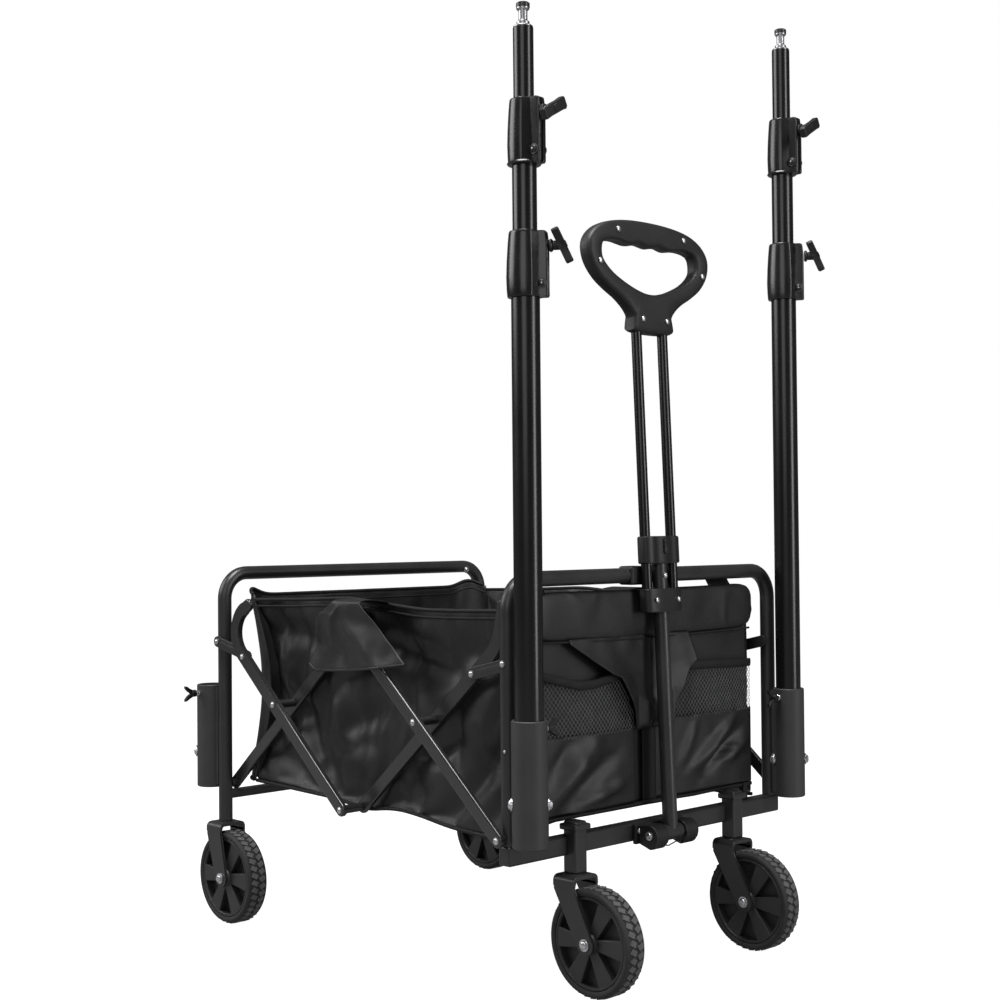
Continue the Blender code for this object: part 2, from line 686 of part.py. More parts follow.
def make_collar(name, body, metal, place, turn, foot, below, above):
    top = foot + COLLAR_TALL
    step = foot + COLLAR_SEAT + SEAT
    outer = below + COLLAR_WALL
    bore_low, bore_high = below + SEAT, above + RUN
    profile = [
        (bore_low, foot), (outer, foot), (outer + COLLAR_SWELL, foot + 0.2 * COLLAR_TALL),
        (outer, foot + 0.6 * COLLAR_TALL), (outer - COLLAR_WALL / 2, top),
        (bore_high, top), (bore_high, step), (bore_low, step),
    ]
    ring = moved(turned(profile, TUBE_SIDES, True), Matrix.Translation((place.x, place.y, 0)))
    inset = COLLAR_WALL / 2
    ear = block(
        (below + inset, -EAR_WIDTH / 2, foot + inset), (EAR_REACH, EAR_WIDTH / 2, top - inset), inset / 2
    )
    height = top - KNOB_DROP
    hole = rod((0, 0, height), (2 * EAR_REACH, 0, height), SCREW_RADIUS + RUN, PIN_SIDES)
    ways = knob_frame(place, 0, turn)
    piece(name, body, metal, ring, [moved(ear, ways)], [moved(hole, ways)])


def make_clamp_knob(name, body, moulded, ways, lean, inner_radius):
    shank = rod((inner_radius + SEAT, 0, 0), (KNOB_BAR_END - KNOB_BAR_EDGE, 0, 0), SCREW_RADIUS, PIN_SIDES)
    boss = rod((EAR_REACH + RUN, 0, 0), ((KNOB_BOSS_END + KNOB_BAR_END) / 2, 0, 0), KNOB_BOSS, PIN_SIDES)
    bar = block(
        (KNOB_BOSS_END, -KNOB_BAR_WIDTH / 2, -KNOB_BAR_TALL / 2),
        (KNOB_BAR_END, KNOB_BAR_WIDTH / 2, KNOB_BAR_TALL / 2), KNOB_BAR_EDGE,
    )
    moved(bar, Matrix.Rotation(lean, 4, "X"))
    piece(name, body, moulded, moved(shank, ways), [moved(boss, ways), moved(bar, ways)])


def pole_heights(side):
    lift = RIGHT_LIFT if side > 0 else 0.0
    middle_more = RIGHT_MIDDLE_MORE if side > 0 else 0.0
    top_more = RIGHT_TOP_MORE if side > 0 else 0.0
    foot = POLE_Z + lift
    lower_collar = foot + LOWER_TALL - COLLAR_SEAT
    upper_collar = lower_collar + COLLAR_TALL + MIDDLE_SHOW + middle_more
    top = upper_collar + COLLAR_TALL + TOP_SHOW + top_more
    return foot, lower_collar, upper_collar, top


def make_pole(word, side, bodies, anodised, moulded):
    place = socket_place(side, True)
    shift = Matrix.Translation(place)
    lower, middle, upper = POLE_RADII
    foot, low_collar, high_collar, top = pole_heights(side)
    low_body, mid_body, top_body, low_knob, high_knob = bodies
    tube = turned(tube_profile(lower, foot, foot + LOWER_TALL), TUBE_SIDES, True)
    piece(word + "_pole_lower_tube", low_body, anodised, moved(tube, shift))
    low_turn, high_turn = LOWER_KNOB_TURN, UPPER_KNOB_TURN
    name = word + "_pole_lower_collar"
    make_collar(name, low_body, anodised, place, low_turn, low_collar, lower, middle)
    end = high_collar + COLLAR_SEAT
    tube = turned(tube_profile(middle, low_collar + COLLAR_TALL - MIDDLE_BURIED, end), TUBE_SIDES, True)
    piece(word + "_pole_middle_tube", mid_body, anodised, moved(tube, shift))
    name = word + "_pole_upper_collar"
    make_collar(name, mid_body, anodised, place, high_turn, high_collar, middle, upper)
    bottom = high_collar + COLLAR_TALL - TOP_BURIED
    bore = upper - POLE_WALL
    profile = [
        (0, top - POLE_WALL), (bore, top - POLE_WALL), (bore, bottom), (upper, bottom), (upper, top),
        (SPIGOT_RADIUS, top), (SPIGOT_RADIUS, top + 0.3 * SPIGOT_TALL),
        (SPIGOT_NECK, top + 0.4 * SPIGOT_TALL), (SPIGOT_NECK, top + 0.6 * SPIGOT_TALL),
        (SPIGOT_RADIUS, top + 0.7 * SPIGOT_TALL), (SPIGOT_RADIUS, top + SPIGOT_TALL),
        (0, top + SPIGOT_TALL),
    ]
    tube = turned(profile, TUBE_SIDES, False)
    piece(word + "_pole_top_tube", top_body, anodised, moved(tube, shift))
    ways = knob_frame(place, low_collar + COLLAR_TALL - KNOB_DROP, low_turn)
    make_clamp_knob(word + "_pole_lower_knob", low_knob, moulded, ways, LOWER_KNOB_LEAN, middle)
    ways = knob_frame(place, high_collar + COLLAR_TALL - KNOB_DROP, high_turn)
    make_clamp_knob(word + "_pole_upper_knob", high_knob, moulded, ways, UPPER_KNOB_LEAN, upper)


# Pull handle, made upright at its hinge and then leaned back on the hoop
def oval_block(foot, tall):
    half, deep = SLEEVE_WIDTH / 2, SLEEVE_DEPTH / 2
    outline = ribbon([(deep - half, 0), (half - deep, 0)], deep, 6)
    return prism(outline, 2, foot, foot + tall)


def grip_outline():
    # Straight neck, then the outer edge as shares of the grip's half width and height.
    shares = [
        (0.36, 0.19), (0.50, 0.28), (0.68, 0.36), (0.84, 0.45), (0.96, 0.57), (1.0, 0.70), (0.96, 0.80),
        (0.84, 0.89), (0.62, 0.96), (0.25, 1.0),
    ]
    half = [(GRIP_NECK, 0), (GRIP_NECK, 0.10 * GRIP_TALL)]
    half += [(x * GRIP_HALF, z * GRIP_TALL) for x, z in shares]
    return half + [(-x, z) for x, z in reversed(half)]


def opening_outline():
    inside, roof = GRIP_HALF - GRIP_LIMB, GRIP_TALL - GRIP_BAR
    shares = [(0.12, 0.357), (0.43, 0.405), (0.75, 0.49), (0.95, 0.585), (1.0, 0.66)]
    half = [(x * inside, z * GRIP_TALL) for x, z in shares]
    half += [(0.96 * inside, roof - 0.03 * GRIP_TALL), (0.78 * inside, roof), (0.60 * inside, roof)]
    groove = 0.018 * GRIP_TALL
    ridges = [(0.40 * inside, roof - groove), (0.20 * inside, roof), (0, roof - groove)]
    mirrored = [(-x, z) for x, z in reversed(half + ridges[:-1])]
    return half + ridges + mirrored


def make_handle(stem_body, slide_body, button_body, moulded, steel, anodised):
    def tilted(shape):
        return moved(shape, HANDLE_FRAME)

    stem_top = SLEEVE_FOOT + STEM_ENGAGE
    tube = rod((0, 0, 0), (0, 0, stem_top), STEM_TUBE_RADIUS)
    knuckle = across((0, 0), -KNUCKLE_WIDTH / 2, KNUCKLE_WIDTH / 2, KNUCKLE_RADIUS, TUBE_SIDES)
    hole = across((0, 0), -KNUCKLE_WIDTH, KNUCKLE_WIDTH, HINGE_PIN + RUN)
    combine(tube, knuckle, "UNION")
    combine(tube, hole, "DIFFERENCE")
    piece("handle_stem", stem_body, steel, tilted(tube))

    sleeve = oval_block(SLEEVE_FOOT, SLEEVE_TALL)
    rod_bores = []
    for x in (-ROD_SPREAD, ROD_SPREAD):
        rod_bores.append(rod((x, 0, 0), (x, 0, GRIP_FOOT), ROD_RADIUS + RUN))
    seat = rod((0, 0, 0), (0, 0, stem_top + SEAT), STEM_TUBE_RADIUS + SEAT)
    front = -SLEEVE_DEPTH / 2
    button_foot = stem_top + BUTTON_RISE
    button_top = button_foot + BUTTON_TALL
    gap = RUN / 2
    recess = block(
        (-BUTTON_WIDTH / 2 - gap, 2 * front, button_foot - gap),
        (BUTTON_WIDTH / 2 + gap, front + BUTTON_RECESS, button_top + gap),
    )
    for cut in rod_bores + [seat, recess]:
        combine(sleeve, cut, "DIFFERENCE")
    piece("handle_sleeve", stem_body, moulded, tilted(sleeve))

    proud = front - BUTTON_PROUD
    button = block(
        (-BUTTON_WIDTH / 2, proud, button_foot), (BUTTON_WIDTH / 2, proud + BUTTON_THICK, button_top), gap
    )
    piece("handle_lock_button", button_body, moulded, tilted(button))

    foot = BLOCK_FOOT + BLOCK_BASE
    top = GRIP_FOOT + ROD_BURIED
    holder = oval_block(BLOCK_FOOT, BLOCK_TALL)
    combine(holder, rod((0, 0, 0), (0, 0, GRIP_FOOT), STEM_TUBE_RADIUS + RUN), "DIFFERENCE")
    grip = prism(smooth_loop(grip_outline(), 2), 1, -GRIP_DEPTH / 2, GRIP_DEPTH / 2, GRIP_EDGE)
    combine(grip, prism(smooth_loop(opening_outline(), 2), 1, -GRIP_DEPTH, GRIP_DEPTH), "DIFFERENCE")
    moved(grip, Matrix.Translation((0, 0, GRIP_FOOT)))
    for side, word in ((-1, "left"), (1, "right")):
        x = side * ROD_SPREAD
        pocket = rod((x, 0, foot - SEAT), (x, 0, top + SEAT), ROD_RADIUS + SEAT)
        combine(holder, pocket, "DIFFERENCE")
        pocket = rod((x, 0, foot), (x, 0, top + SEAT), ROD_RADIUS + SEAT)
        combine(grip, pocket, "DIFFERENCE")
        shaft = rod((x, 0, foot), (x, 0, top), ROD_RADIUS)
        piece("handle_rod_" + word, slide_body, anodised, tilted(shaft))
    piece("handle_rod_block", slide_body, moulded, tilted(holder))
    piece("handle_grip", slide_body, moulded, tilted(grip))


# Fabric basket: front and rear panels in the hoops, and a tub of two sides and the floor
def panel_shape(way, y, with_pockets):
    floor = BASE + HOUSING_RISE + BASKET_LIFT
    roof = HOOP_Z - HALF_TUBE - SEAT
    dip = roof - PANEL_TOP_GAP
    inner, step, outer = (BASKET_HALF - inset for inset in PANEL_TAB)
    half = [(BASKET_HALF, floor), (BASKET_HALF, dip), (outer, roof), (step, roof), (inner, dip)]
    outline = half + [(-x, z) for x, z in reversed(half)]
    near, far = y + way * CLOTH / 3, y + way * (CLOTH / 3 + CLOTH)
    sheet = prism(outline, 1, *sorted((near, far)))
    edge = CLOTH / 4
    inside = (near + far) / 2
    face = near - way * BAND_PROUD
    ends = sorted((face, inside))
    side = BASKET_HALF - CLOTH
    joins = [block((-side, ends[0], dip - BAND_TALL), (side, ends[1], dip - CLOTH / 2), edge)]
    if with_pockets:
        face = near - way * POCKET_PROUD
        ends = sorted((face, inside))
        for mirror in (-1, 1):
            low, high = sorted((mirror * POCKET_START, mirror * (BASKET_HALF - POCKET_INSET)))
            hem = floor + CLOTH
            joins.append(block((low, ends[0], hem), (high, ends[1], hem + POCKET_TALL), edge))
    return sheet, joins


def make_basket(front_body, rear_body, cloth):
    sheet, joins = panel_shape(1, FRONT, True)
    piece("front_panel", front_body, cloth, sheet, joins)
    sheet, joins = panel_shape(-1, REAR, False)
    piece("rear_panel", rear_body, cloth, sheet, joins)
    floor, top = BASE + HOUSING_RISE + BASKET_LIFT, BASE + SIDE_TOP
    inside = BASKET_HALF - CLOTH
    outline = [
        (-BASKET_HALF, floor), (BASKET_HALF, floor), (BASKET_HALF, top), (inside, top),
        (inside, floor + CLOTH), (-inside, floor + CLOTH), (-inside, top), (-BASKET_HALF, top),
    ]
    gap = CLOTH / 3 + CLOTH + SEAT
    piece("fabric_tub", front_body, cloth, prism(outline, 1, FRONT + gap, REAR - gap))


def make_sides(word, side, bodies, steel):
    a_front, a_rear, b_front, b_rear, front_link, rear_link = bodies
    apex, foot = (MIDDLE, APEX_Z), (MIDDLE, PIVOT_Z)
    front_cross, rear_cross = (FRONT + RUN_QUARTER, CROSS_Z), (REAR - RUN_QUARTER, CROSS_Z)
    make_bar(
        word + "_front_rising_bar", a_front, steel, rising_path(True), OUTER, side,
        through=(front_cross, apex), leg_pin=(FRONT, PIVOT_Z),
    )
    make_bar(
        word + "_rear_rising_bar", a_rear, steel, rising_path(False), INNER, side,
        holes=(rear_cross, apex), leg_pin=(REAR, PIVOT_Z),
    )
    make_bar(
        word + "_front_falling_bar", b_front, steel, falling_path(True), INNER, side,
        holes=(front_cross, foot),
    )
    make_bar(
        word + "_rear_falling_bar", b_rear, steel, falling_path(False), OUTER, side,
        through=(rear_cross, foot),
    )
    make_link(word + "_front_link", front_link, steel, True, side)
    make_link(word + "_rear_link", rear_link, steel, False, side)


def main():
    clear_scene()
    steel = finish("satin_black_steel", (0.018, 0.018, 0.019), 0.42, 0.3)
    anodised = finish("black_anodised_aluminium", (0.012, 0.012, 0.013), 0.25, 0.6)
    moulded = finish("black_moulded_plastic", (0.022, 0.022, 0.023), 0.55)
    rubber = finish("grey_rubber", (0.045, 0.045, 0.046), 0.8)
    cloth = finish("black_woven_cloth", (0.014, 0.014, 0.015), 0.7)

    front = body_empty("front_frame", (0, FRONT, BASE))
    make_front_frame(front, steel, moulded)
    chains = {}
    for side, word in ((-1, "left"), (1, "right")):
        x = side * LEG_X
        front_cross, rear_cross = (x, FRONT + RUN_QUARTER, CROSS_Z), (x, REAR - RUN_QUARTER, CROSS_Z)
        a_front = body_empty(word + "_front_rising", (x, FRONT, PIVOT_Z), front)
        a_rear = body_empty(word + "_rear_rising", (x, MIDDLE, APEX_Z), a_front)
        b_front = body_empty(word + "_front_falling", front_cross, a_front)
        b_rear = body_empty(word + "_rear_falling", rear_cross, a_rear)
        chains[side] = [a_front, a_rear, b_front, b_rear]
    rear = body_empty("rear_frame", (0, REAR, PIVOT_Z), chains[-1][1])
    make_rear_frame(rear, steel)
    for side, word in ((-1, "left"), (1, "right")):
        x = side * LEG_X
        front_link = body_empty(word + "_front_link", (x, FRONT, LINK_Z), front)
        rear_link = body_empty(word + "_rear_link", (x, REAR, LINK_Z), rear)
        make_sides(word, side, chains[side] + [front_link, rear_link], steel)

        caster_x, caster_y = side * CASTER_SPREAD, FRONT - CASTER_AHEAD
        caster = body_empty(word + "_caster", (caster_x, caster_y, BASE), front)
        hub = make_fork(word + "_caster_fork", caster, caster_x, caster_y, CASTER_TRAIL, steel, True)
        wheel = body_empty("front_" + word + "_wheel", hub, caster)
        make_wheel("front_" + word, wheel, hub, moulded, rubber)
        hub = make_fork("rear_" + word + "_fork", rear, x, REAR, REAR_TRAIL, steel, False)
        wheel = body_empty("rear_" + word + "_wheel", hub, rear)
        make_wheel("rear_" + word, wheel, hub, moulded, rubber)

        for is_front, end, holder in ((True, "front_", front), (False, "rear_", rear)):
            make_socket(end + word + "_socket", holder, steel, side, is_front)
            place = socket_place(side, is_front)
            screw = body_empty(end + word + "_screw", (place.x, place.y, SCREW_Z), holder)
            make_wing_screw(end + word + "_wing_screw", screw, moulded, side, is_front)

        place = socket_place(side, True)
        foot, low_collar, high_collar, top = pole_heights(side)
        low_body = body_empty(word + "_pole", (place.x, place.y, foot), front)
        mid_body = body_empty(word + "_pole_middle", (place.x, place.y, high_collar), low_body)
        top_body = body_empty(word + "_pole_top", (place.x, place.y, top), mid_body)
        knob_drop = COLLAR_TALL - KNOB_DROP
        low_knob = body_empty(word + "_lower_knob", (place.x, place.y, low_collar + knob_drop), low_body)
        high_knob = body_empty(word + "_upper_knob", (place.x, place.y, high_collar + knob_drop), mid_body)
        bodies = (low_body, mid_body, top_body, low_knob, high_knob)
        make_pole(word, side, bodies, anodised, moulded)

    stem = body_empty("handle", HINGE, front)
    slide = body_empty("handle_slide", HANDLE_FRAME @ Vector((0, 0, GRIP_FOOT)), stem)
    button = body_empty("lock_button", HANDLE_FRAME @ Vector((0, 0, SLEEVE_FOOT)), stem)
    make_handle(stem, slide, button, moulded, steel, anodised)
    make_basket(front, rear, cloth)


main()
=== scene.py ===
# Folding camp wagon: finishes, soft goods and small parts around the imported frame.
import json
import math

import bmesh
import bpy
import numpy as np
from mathutils import Matrix, Vector, noise


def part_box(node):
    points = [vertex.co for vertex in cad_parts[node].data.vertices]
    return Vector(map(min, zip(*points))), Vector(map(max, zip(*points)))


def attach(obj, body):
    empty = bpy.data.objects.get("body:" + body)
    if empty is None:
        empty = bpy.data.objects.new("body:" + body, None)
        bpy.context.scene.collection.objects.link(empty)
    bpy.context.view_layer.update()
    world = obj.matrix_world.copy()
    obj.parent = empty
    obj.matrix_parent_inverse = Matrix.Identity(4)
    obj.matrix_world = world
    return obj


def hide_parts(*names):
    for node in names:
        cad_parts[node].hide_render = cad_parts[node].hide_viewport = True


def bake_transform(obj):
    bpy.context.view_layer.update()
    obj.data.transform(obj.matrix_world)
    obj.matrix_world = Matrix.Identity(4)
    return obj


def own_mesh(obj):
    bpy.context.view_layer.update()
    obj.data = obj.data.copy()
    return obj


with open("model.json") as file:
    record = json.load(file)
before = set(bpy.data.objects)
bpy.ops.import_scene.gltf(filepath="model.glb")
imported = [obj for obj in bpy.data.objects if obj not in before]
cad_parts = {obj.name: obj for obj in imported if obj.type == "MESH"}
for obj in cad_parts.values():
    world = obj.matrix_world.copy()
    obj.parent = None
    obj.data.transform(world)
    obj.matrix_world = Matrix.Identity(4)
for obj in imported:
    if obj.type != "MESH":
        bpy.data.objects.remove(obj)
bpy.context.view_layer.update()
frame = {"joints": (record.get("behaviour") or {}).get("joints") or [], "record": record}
joints = {joint["name"]: joint for joint in frame["joints"]}


def pivot(name):
    return Vector(joints[name]["pos_m"])


# Places that the frame gives
hoopLow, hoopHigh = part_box("front_hoop")
tubeSize = hoopHigh.y - hoopLow.y
tubeHalf = tubeSize / 2
legX, hoopZ = hoopHigh.x - tubeHalf, hoopHigh.z - tubeHalf
frontY, rearY = pivot("fold").y, pivot("rear_frame_pivot").y
midY, apexZ = pivot("left_apex_pivot").y, pivot("left_apex_pivot").z
pivotZ, crossZ = pivot("fold").z, pivot("left_front_cross_pivot").z
baseZ, linkZ = pivot("handle_pivot").z, pivot("left_front_link_pivot").z
endY = {-1: frontY, 1: rearY}
sides = ((-1, "left"), (1, "right"))
ends = ((-1, "front"), (1, "rear"))
leastGap = 0.0003


# Nodes of the shader and geometry trees
def feed(tree, node, inputs):
    for socket, value in inputs.items():
        if isinstance(value, bpy.types.NodeSocket):
            tree.links.new(value, node.inputs[socket])
        else:
            node.inputs[socket].default_value = value


def wire(tree, kind, inputs=(), **settings):
    # Adds a node, links or sets its inputs and gives its first output.
    node = tree.nodes.new(kind)
    for label, value in settings.items():
        setattr(node, label, value)
    feed(tree, node, dict(inputs))
    return node.outputs[0]


def calc(tree, operation, *values):
    return wire(tree, "ShaderNodeMath", enumerate(values), operation=operation)


def triple(tree, **parts):
    return wire(tree, "ShaderNodeCombineXYZ", parts)


def startTree(name, kind, inputs, outputs):
    tree = bpy.data.node_groups.new(name, kind)
    for way, sockets in (("INPUT", inputs), ("OUTPUT", outputs)):
        for label, socket in sockets.items():
            tree.interface.new_socket(label, in_out=way, socket_type="NodeSocket" + socket)
    return tree, tree.nodes.new("NodeGroupInput").outputs, tree.nodes.new("NodeGroupOutput")


# Shader groups that the finishes share
effectInputs = {"Vector": "Vector", "Fine": "Float", "Broad": "Float"}
effectOutputs = {"Height": "Float", "Tone": "Float"}


def noiseNode(tree, out, scale, detail):
    inputs = {"Vector": out["Vector"], "Scale": out[scale], "Detail": detail}
    return wire(tree, "ShaderNodeTexNoise", inputs)


def makeGrainGroup():
    tree, out, end = startTree("mouldedGrain", "ShaderNodeTree", effectInputs, effectOutputs)
    fine, broad = noiseNode(tree, out, "Fine", 3.0), noiseNode(tree, out, "Broad", 5.0)
    feed(tree, end, {"Height": fine, "Tone": calc(tree, "MULTIPLY_ADD", broad, 1.6, -0.3)})
    return tree


def makeWeaveGroup():
    # Plain weave on a UV map in metres; Fine is threads in a metre.
    tree, out, end = startTree("plainWeave", "ShaderNodeTree", effectInputs, effectOutputs)
    split = tree.nodes.new("ShaderNodeSeparateXYZ")
    feed(tree, split, {0: out["Vector"]})
    waves = []
    for axis in (0, 1):
        turns = calc(tree, "MULTIPLY", split.outputs[axis], out["Fine"])
        waves.append(calc(tree, "SINE", calc(tree, "MULTIPLY", turns, math.pi)))
    slub, broad = noiseNode(tree, out, "Fine", 1.0), noiseNode(tree, out, "Broad", 5.0)
    feed(tree, end, {"Height": calc(tree, "ADD", calc(tree, "MULTIPLY", *waves), slub),
                     "Tone": calc(tree, "MULTIPLY_ADD", broad, 1.8, -0.4)})
    return tree


grainGroup, weaveGroup = makeGrainGroup(), makeWeaveGroup()

# Every finish: the record's slot, tones and roughness from dark to light, fine and broad grain per metre,
# bump, and the specular level or, for bare metal without a slot, the metallic share
finishTable = {
    "paint": ("frame_paint", (0.016, 0.024), (0.30, 0.42), 1800, 18, 0.06, 0.5),
    "socketPaint": ("frame_paint", (0.030, 0.040), (0.48, 0.60), 2400, 22, 0.12, 0.4),
    "barPaint": ("frame_paint", (0.016, 0.024), (0.20, 0.28), 1500, 20, 0.02, 0.75),
    "anodised": ("pole_anodised", (0.003, 0.005), (0.20, 0.28), 900, 9, 0.004, 0.5),
    "collarMetal": ("pole_anodised", (0.005, 0.008), (0.20, 0.30), 1300, 30, 0.02, 0.55),
    "plastic": ("moulded_plastic", (0.006, 0.010), (0.38, 0.52), 1600, 24, 0.18, 0.4),
    "gripPlastic": ("moulded_plastic", (0.010, 0.015), (0.44, 0.58), 1400, 30, 0.20, 0.4),
    "wheelPlastic": ("moulded_plastic", (0.020, 0.028), (0.38, 0.52), 1300, 30, 0.10, 0.42),
    "rubber": ("tyre_rubber", (0.020, 0.034), (0.66, 0.84), 900, 60, 0.30, 0.3),
    # The tread blocks get a much lighter rubber than the tyre's sides: a painted highlight of the lit
    # tread.
    "tread": ("tyre_rubber", (0.070, 0.120), (0.66, 0.84), 900, 70, 0.35, 0.3),
    "cloth": ("cloth", (0.002, 0.008), (0.40, 0.56), 1100, 14, 0.16, 0.5),
    "webbing": ("cloth", (0.004, 0.009), (0.58, 0.74), 800, 60, 0.35, 0.3),
    "net": ("cloth", (0.07, 0.15), (0.45, 0.60), 900, 120, 0.1, 0.45),
    "zinc": (None, (0.52, 0.68), (0.22, 0.36), 1400, 160, 0.08, 1.0),
    "steel": (None, (0.30, 0.42), (0.28, 0.40), 1400, 60, 0.02, 1.0),
    "darkBolt": (None, (0.03, 0.06), (0.28, 0.40), 1400, 160, 0.08, 0.7),
}
wovenFinish, coolTint, bumpReach = "cloth", 1.03, 0.0004


def makeFinish(name, look):
    slot, tones, rough, fine, broad, bump, level = look
    material = bpy.data.materials.new(name)
    material.use_nodes = True
    tree = material.node_tree
    woven = name == wovenFinish
    coords = tree.nodes.new("ShaderNodeTexCoord")
    effect = tree.nodes.new("ShaderNodeGroup")
    effect.node_tree = weaveGroup if woven else grainGroup
    space = coords.outputs["UV" if woven else "Object"]
    feed(tree, effect, {"Fine": fine, "Broad": broad, "Vector": space})
    height, shade = effect.outputs["Height"], effect.outputs["Tone"]
    tone = tree.nodes.new("ShaderNodeValToRGB")
    for stop, value in zip(tone.color_ramp.elements, tones):
        stop.color = (value, value, value * coolTint, 1.0)
    feed(tree, tone, {"Fac": shade})
    matt = wire(tree, "ShaderNodeMapRange", {"Value": shade, "To Min": rough[0], "To Max": rough[1]})
    relief = wire(tree, "ShaderNodeBump", {"Height": height, "Strength": bump, "Distance": bumpReach})
    feed(tree, tree.nodes["Principled BSDF"], {
        "Specular IOR Level" if slot else "Metallic": level, "Base Color": tone.outputs["Color"],
        "Roughness": matt, "Normal": relief,
    })
    return material


finishes = {name: makeFinish(name, look) for name, look in finishTable.items()}
print("finishes:", len(finishes))


# Shapes, added to a bmesh in the frame's own metres
def circle(radius, count=12):
    turns = [2 * math.pi * step / count for step in range(count)]
    return [(radius * math.cos(t), radius * math.sin(t)) for t in turns]


def squared(value, power):
    return math.copysign(abs(value) ** power, value)


def clamp(value, low=0, high=1):
    return min(max(value, low), high)


def roundRect(width, height, radius, steps):
    outline = []
    for turn, (sx, sy) in enumerate(((1, 1), (-1, 1), (-1, -1), (1, -1))):
        for step in range(steps + 1):
            angle = (turn + step / steps) * math.pi / 2
            x = sx * (width / 2 - radius) + radius * math.cos(angle)
            outline.append((x, sy * (height / 2 - radius) + radius * math.sin(angle)))
    return outline


def addRings(b, rings, looped=False):
    made = [[b.verts.new(point) for point in ring] for ring in rings]
    count = len(rings[0])
    for lower, upper in zip(made, made[1:] + (made[:1] if looped else [])):
        for i in range(count):
            j = (i + 1) % count
            b.faces.new((lower[i], lower[j], upper[j], upper[i]))
    if not looped:
        b.faces.new(made[0])
        b.faces.new(made[-1])


def addTurned(b, profile, place, count=48, looped=False):
    # Turns (radius, height) points about the place's own Z.
    addRings(b, [[place @ Vector((x, y, height)) for x, y in circle(radius, count)]
                 for radius, height in profile], looped)


def addPin(b, start, end, radius, edge=0.0006, count=28):
    way = Vector(end) - Vector(start)
    length = way.length
    profile = [(radius - edge, 0), (radius, edge), (radius, length - edge), (radius - edge, length)]
    aim = Matrix.Translation(start) @ way.to_track_quat("Z", "Y").to_matrix().to_4x4()
    addTurned(b, profile, aim, count)


def roundEdges(b, edges, radius, steps):
    rims = list(dict.fromkeys(edges))
    bmesh.ops.bevel(b, geom=rims, offset=radius, segments=steps, profile=0.5, affect="EDGES")


def addBlock(b, low, high, radius, steps=3, place=None):
    low, high = Vector(low), Vector(high)
    made = bmesh.ops.create_cube(b, size=1.0)["verts"]
    bmesh.ops.scale(b, vec=high - low, verts=made)
    bmesh.ops.translate(b, vec=(low + high) / 2, verts=made)
    if place:
        bmesh.ops.transform(b, matrix=place, verts=made)
    roundEdges(b, (edge for vert in made for edge in vert.link_edges), radius, steps)


alongX, alongY, alongZ = 0, 1, 2


def addPrism(b, outline, axis, low, high, radius, steps=3, place=Matrix.Identity(4)):
    # Carries a flat outline along one axis.
    lower, upper = [[b.verts.new(place @ Vector((*spot[:axis], level, *spot[axis:]))) for spot in outline]
                    for level in sorted((low, high))]
    caps = [b.faces.new(ring) for ring in (lower, upper)]
    for i in range(len(outline)):
        j = (i + 1) % len(outline)
        b.faces.new((lower[i], lower[j], upper[j], upper[i]))
    roundEdges(b, (edge for cap in caps for edge in cap.edges), radius, steps)


def ribbon(path, half, steps=8):
    # Outline of a strip of even width along a path, with round ends.
    points = [Vector(p) for p in path]
    headings = []
    for i in range(len(points)):
        before, after = points[max(i - 1, 0)], points[min(i + 1, len(points) - 1)]
        headings.append(math.atan2(after.y - before.y, after.x - before.x))
    offsets = [half * Vector((-math.sin(h), math.cos(h))) for h in headings]

    def roundEnd(centre, start):
        turns = [start - math.pi * step / steps for step in range(1, steps)]
        return [centre + half * Vector((math.cos(t), math.sin(t))) for t in turns]

    outline = [p + off for p, off in zip(points, offsets)]
    outline += roundEnd(points[-1], headings[-1] + math.pi / 2)
    outline += [p - off for p, off in zip(points[::-1], offsets[::-1])]
    outline += roundEnd(points[0], headings[0] - math.pi / 2)
    return [tuple(p) for p in outline]


def addSweep(b, path, section, up, looped=False):
    # Carries a flat section along a path; the section's second axis keeps near to up.
    points = [Vector(p) for p in path]
    rings = []
    for i, point in enumerate(points):
        before = points[i - 1] if i or looped else point
        after = points[(i + 1) % len(points)] if i + 1 < len(points) or looped else point
        way = (after - before).normalized()
        across = way.cross(Vector(up)).normalized()
        rise = across.cross(way)
        rings.append([point + across * u + rise * v for u, v in section])
    addRings(b, rings, looped)


def smoothLoop(points, steps):
    # Closed curve through the points.
    count, corners, curve = len(points), [Vector(p) for p in points], []
    for i in range(count):
        a, p, q, d = (corners[(i + k) % count] for k in (-1, 0, 1, 2))
        for step in range(steps):
            t = step / steps
            square, cube = (2 * a - 5 * p + 4 * q - d) * t**2, (3 * p - a - 3 * q + d) * t**3
            curve.append((2 * p + (q - a) * t + square + cube) / 2)
    return curve


# Pieces: a mesh made an object, dressed in a finish and set on a body
def addObject(name, data):
    made = bpy.data.objects.new(name, data)
    bpy.context.scene.collection.objects.link(made)
    return made


def linkMesh(name, mesh, finish):
    mesh.materials.clear()
    mesh.materials.append(finishes[finish])
    return addObject(name, mesh)


def closedMesh(name, b):
    bmesh.ops.recalc_face_normals(b, faces=b.faces)
    mesh = bpy.data.meshes.new(name)
    b.to_mesh(mesh)
    b.free()
    mesh.shade_smooth()
    return mesh


def plainMesh(piece):
    # The piece with its modifiers' result as a mesh, and the modifiers removed.
    graph = bpy.context.evaluated_depsgraph_get()
    mesh = bpy.data.meshes.new_from_object(piece.evaluated_get(graph))
    piece.modifiers.clear()
    return mesh


def settle(piece, finish, body, nodes=()):
    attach(piece, body)
    if nodes:
        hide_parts(*nodes)
    return piece


def keep(name, b, finish, body, nodes=(), sharp=34):
    mesh = closedMesh(name, b)
    mesh.set_sharp_from_angle(angle=math.radians(sharp))
    piece = linkMesh(name, mesh, finish)
    even = piece.modifiers.new("evenNormals", "WEIGHTED_NORMAL")
    even.keep_sharp = True
    return settle(piece, finish, body, nodes)


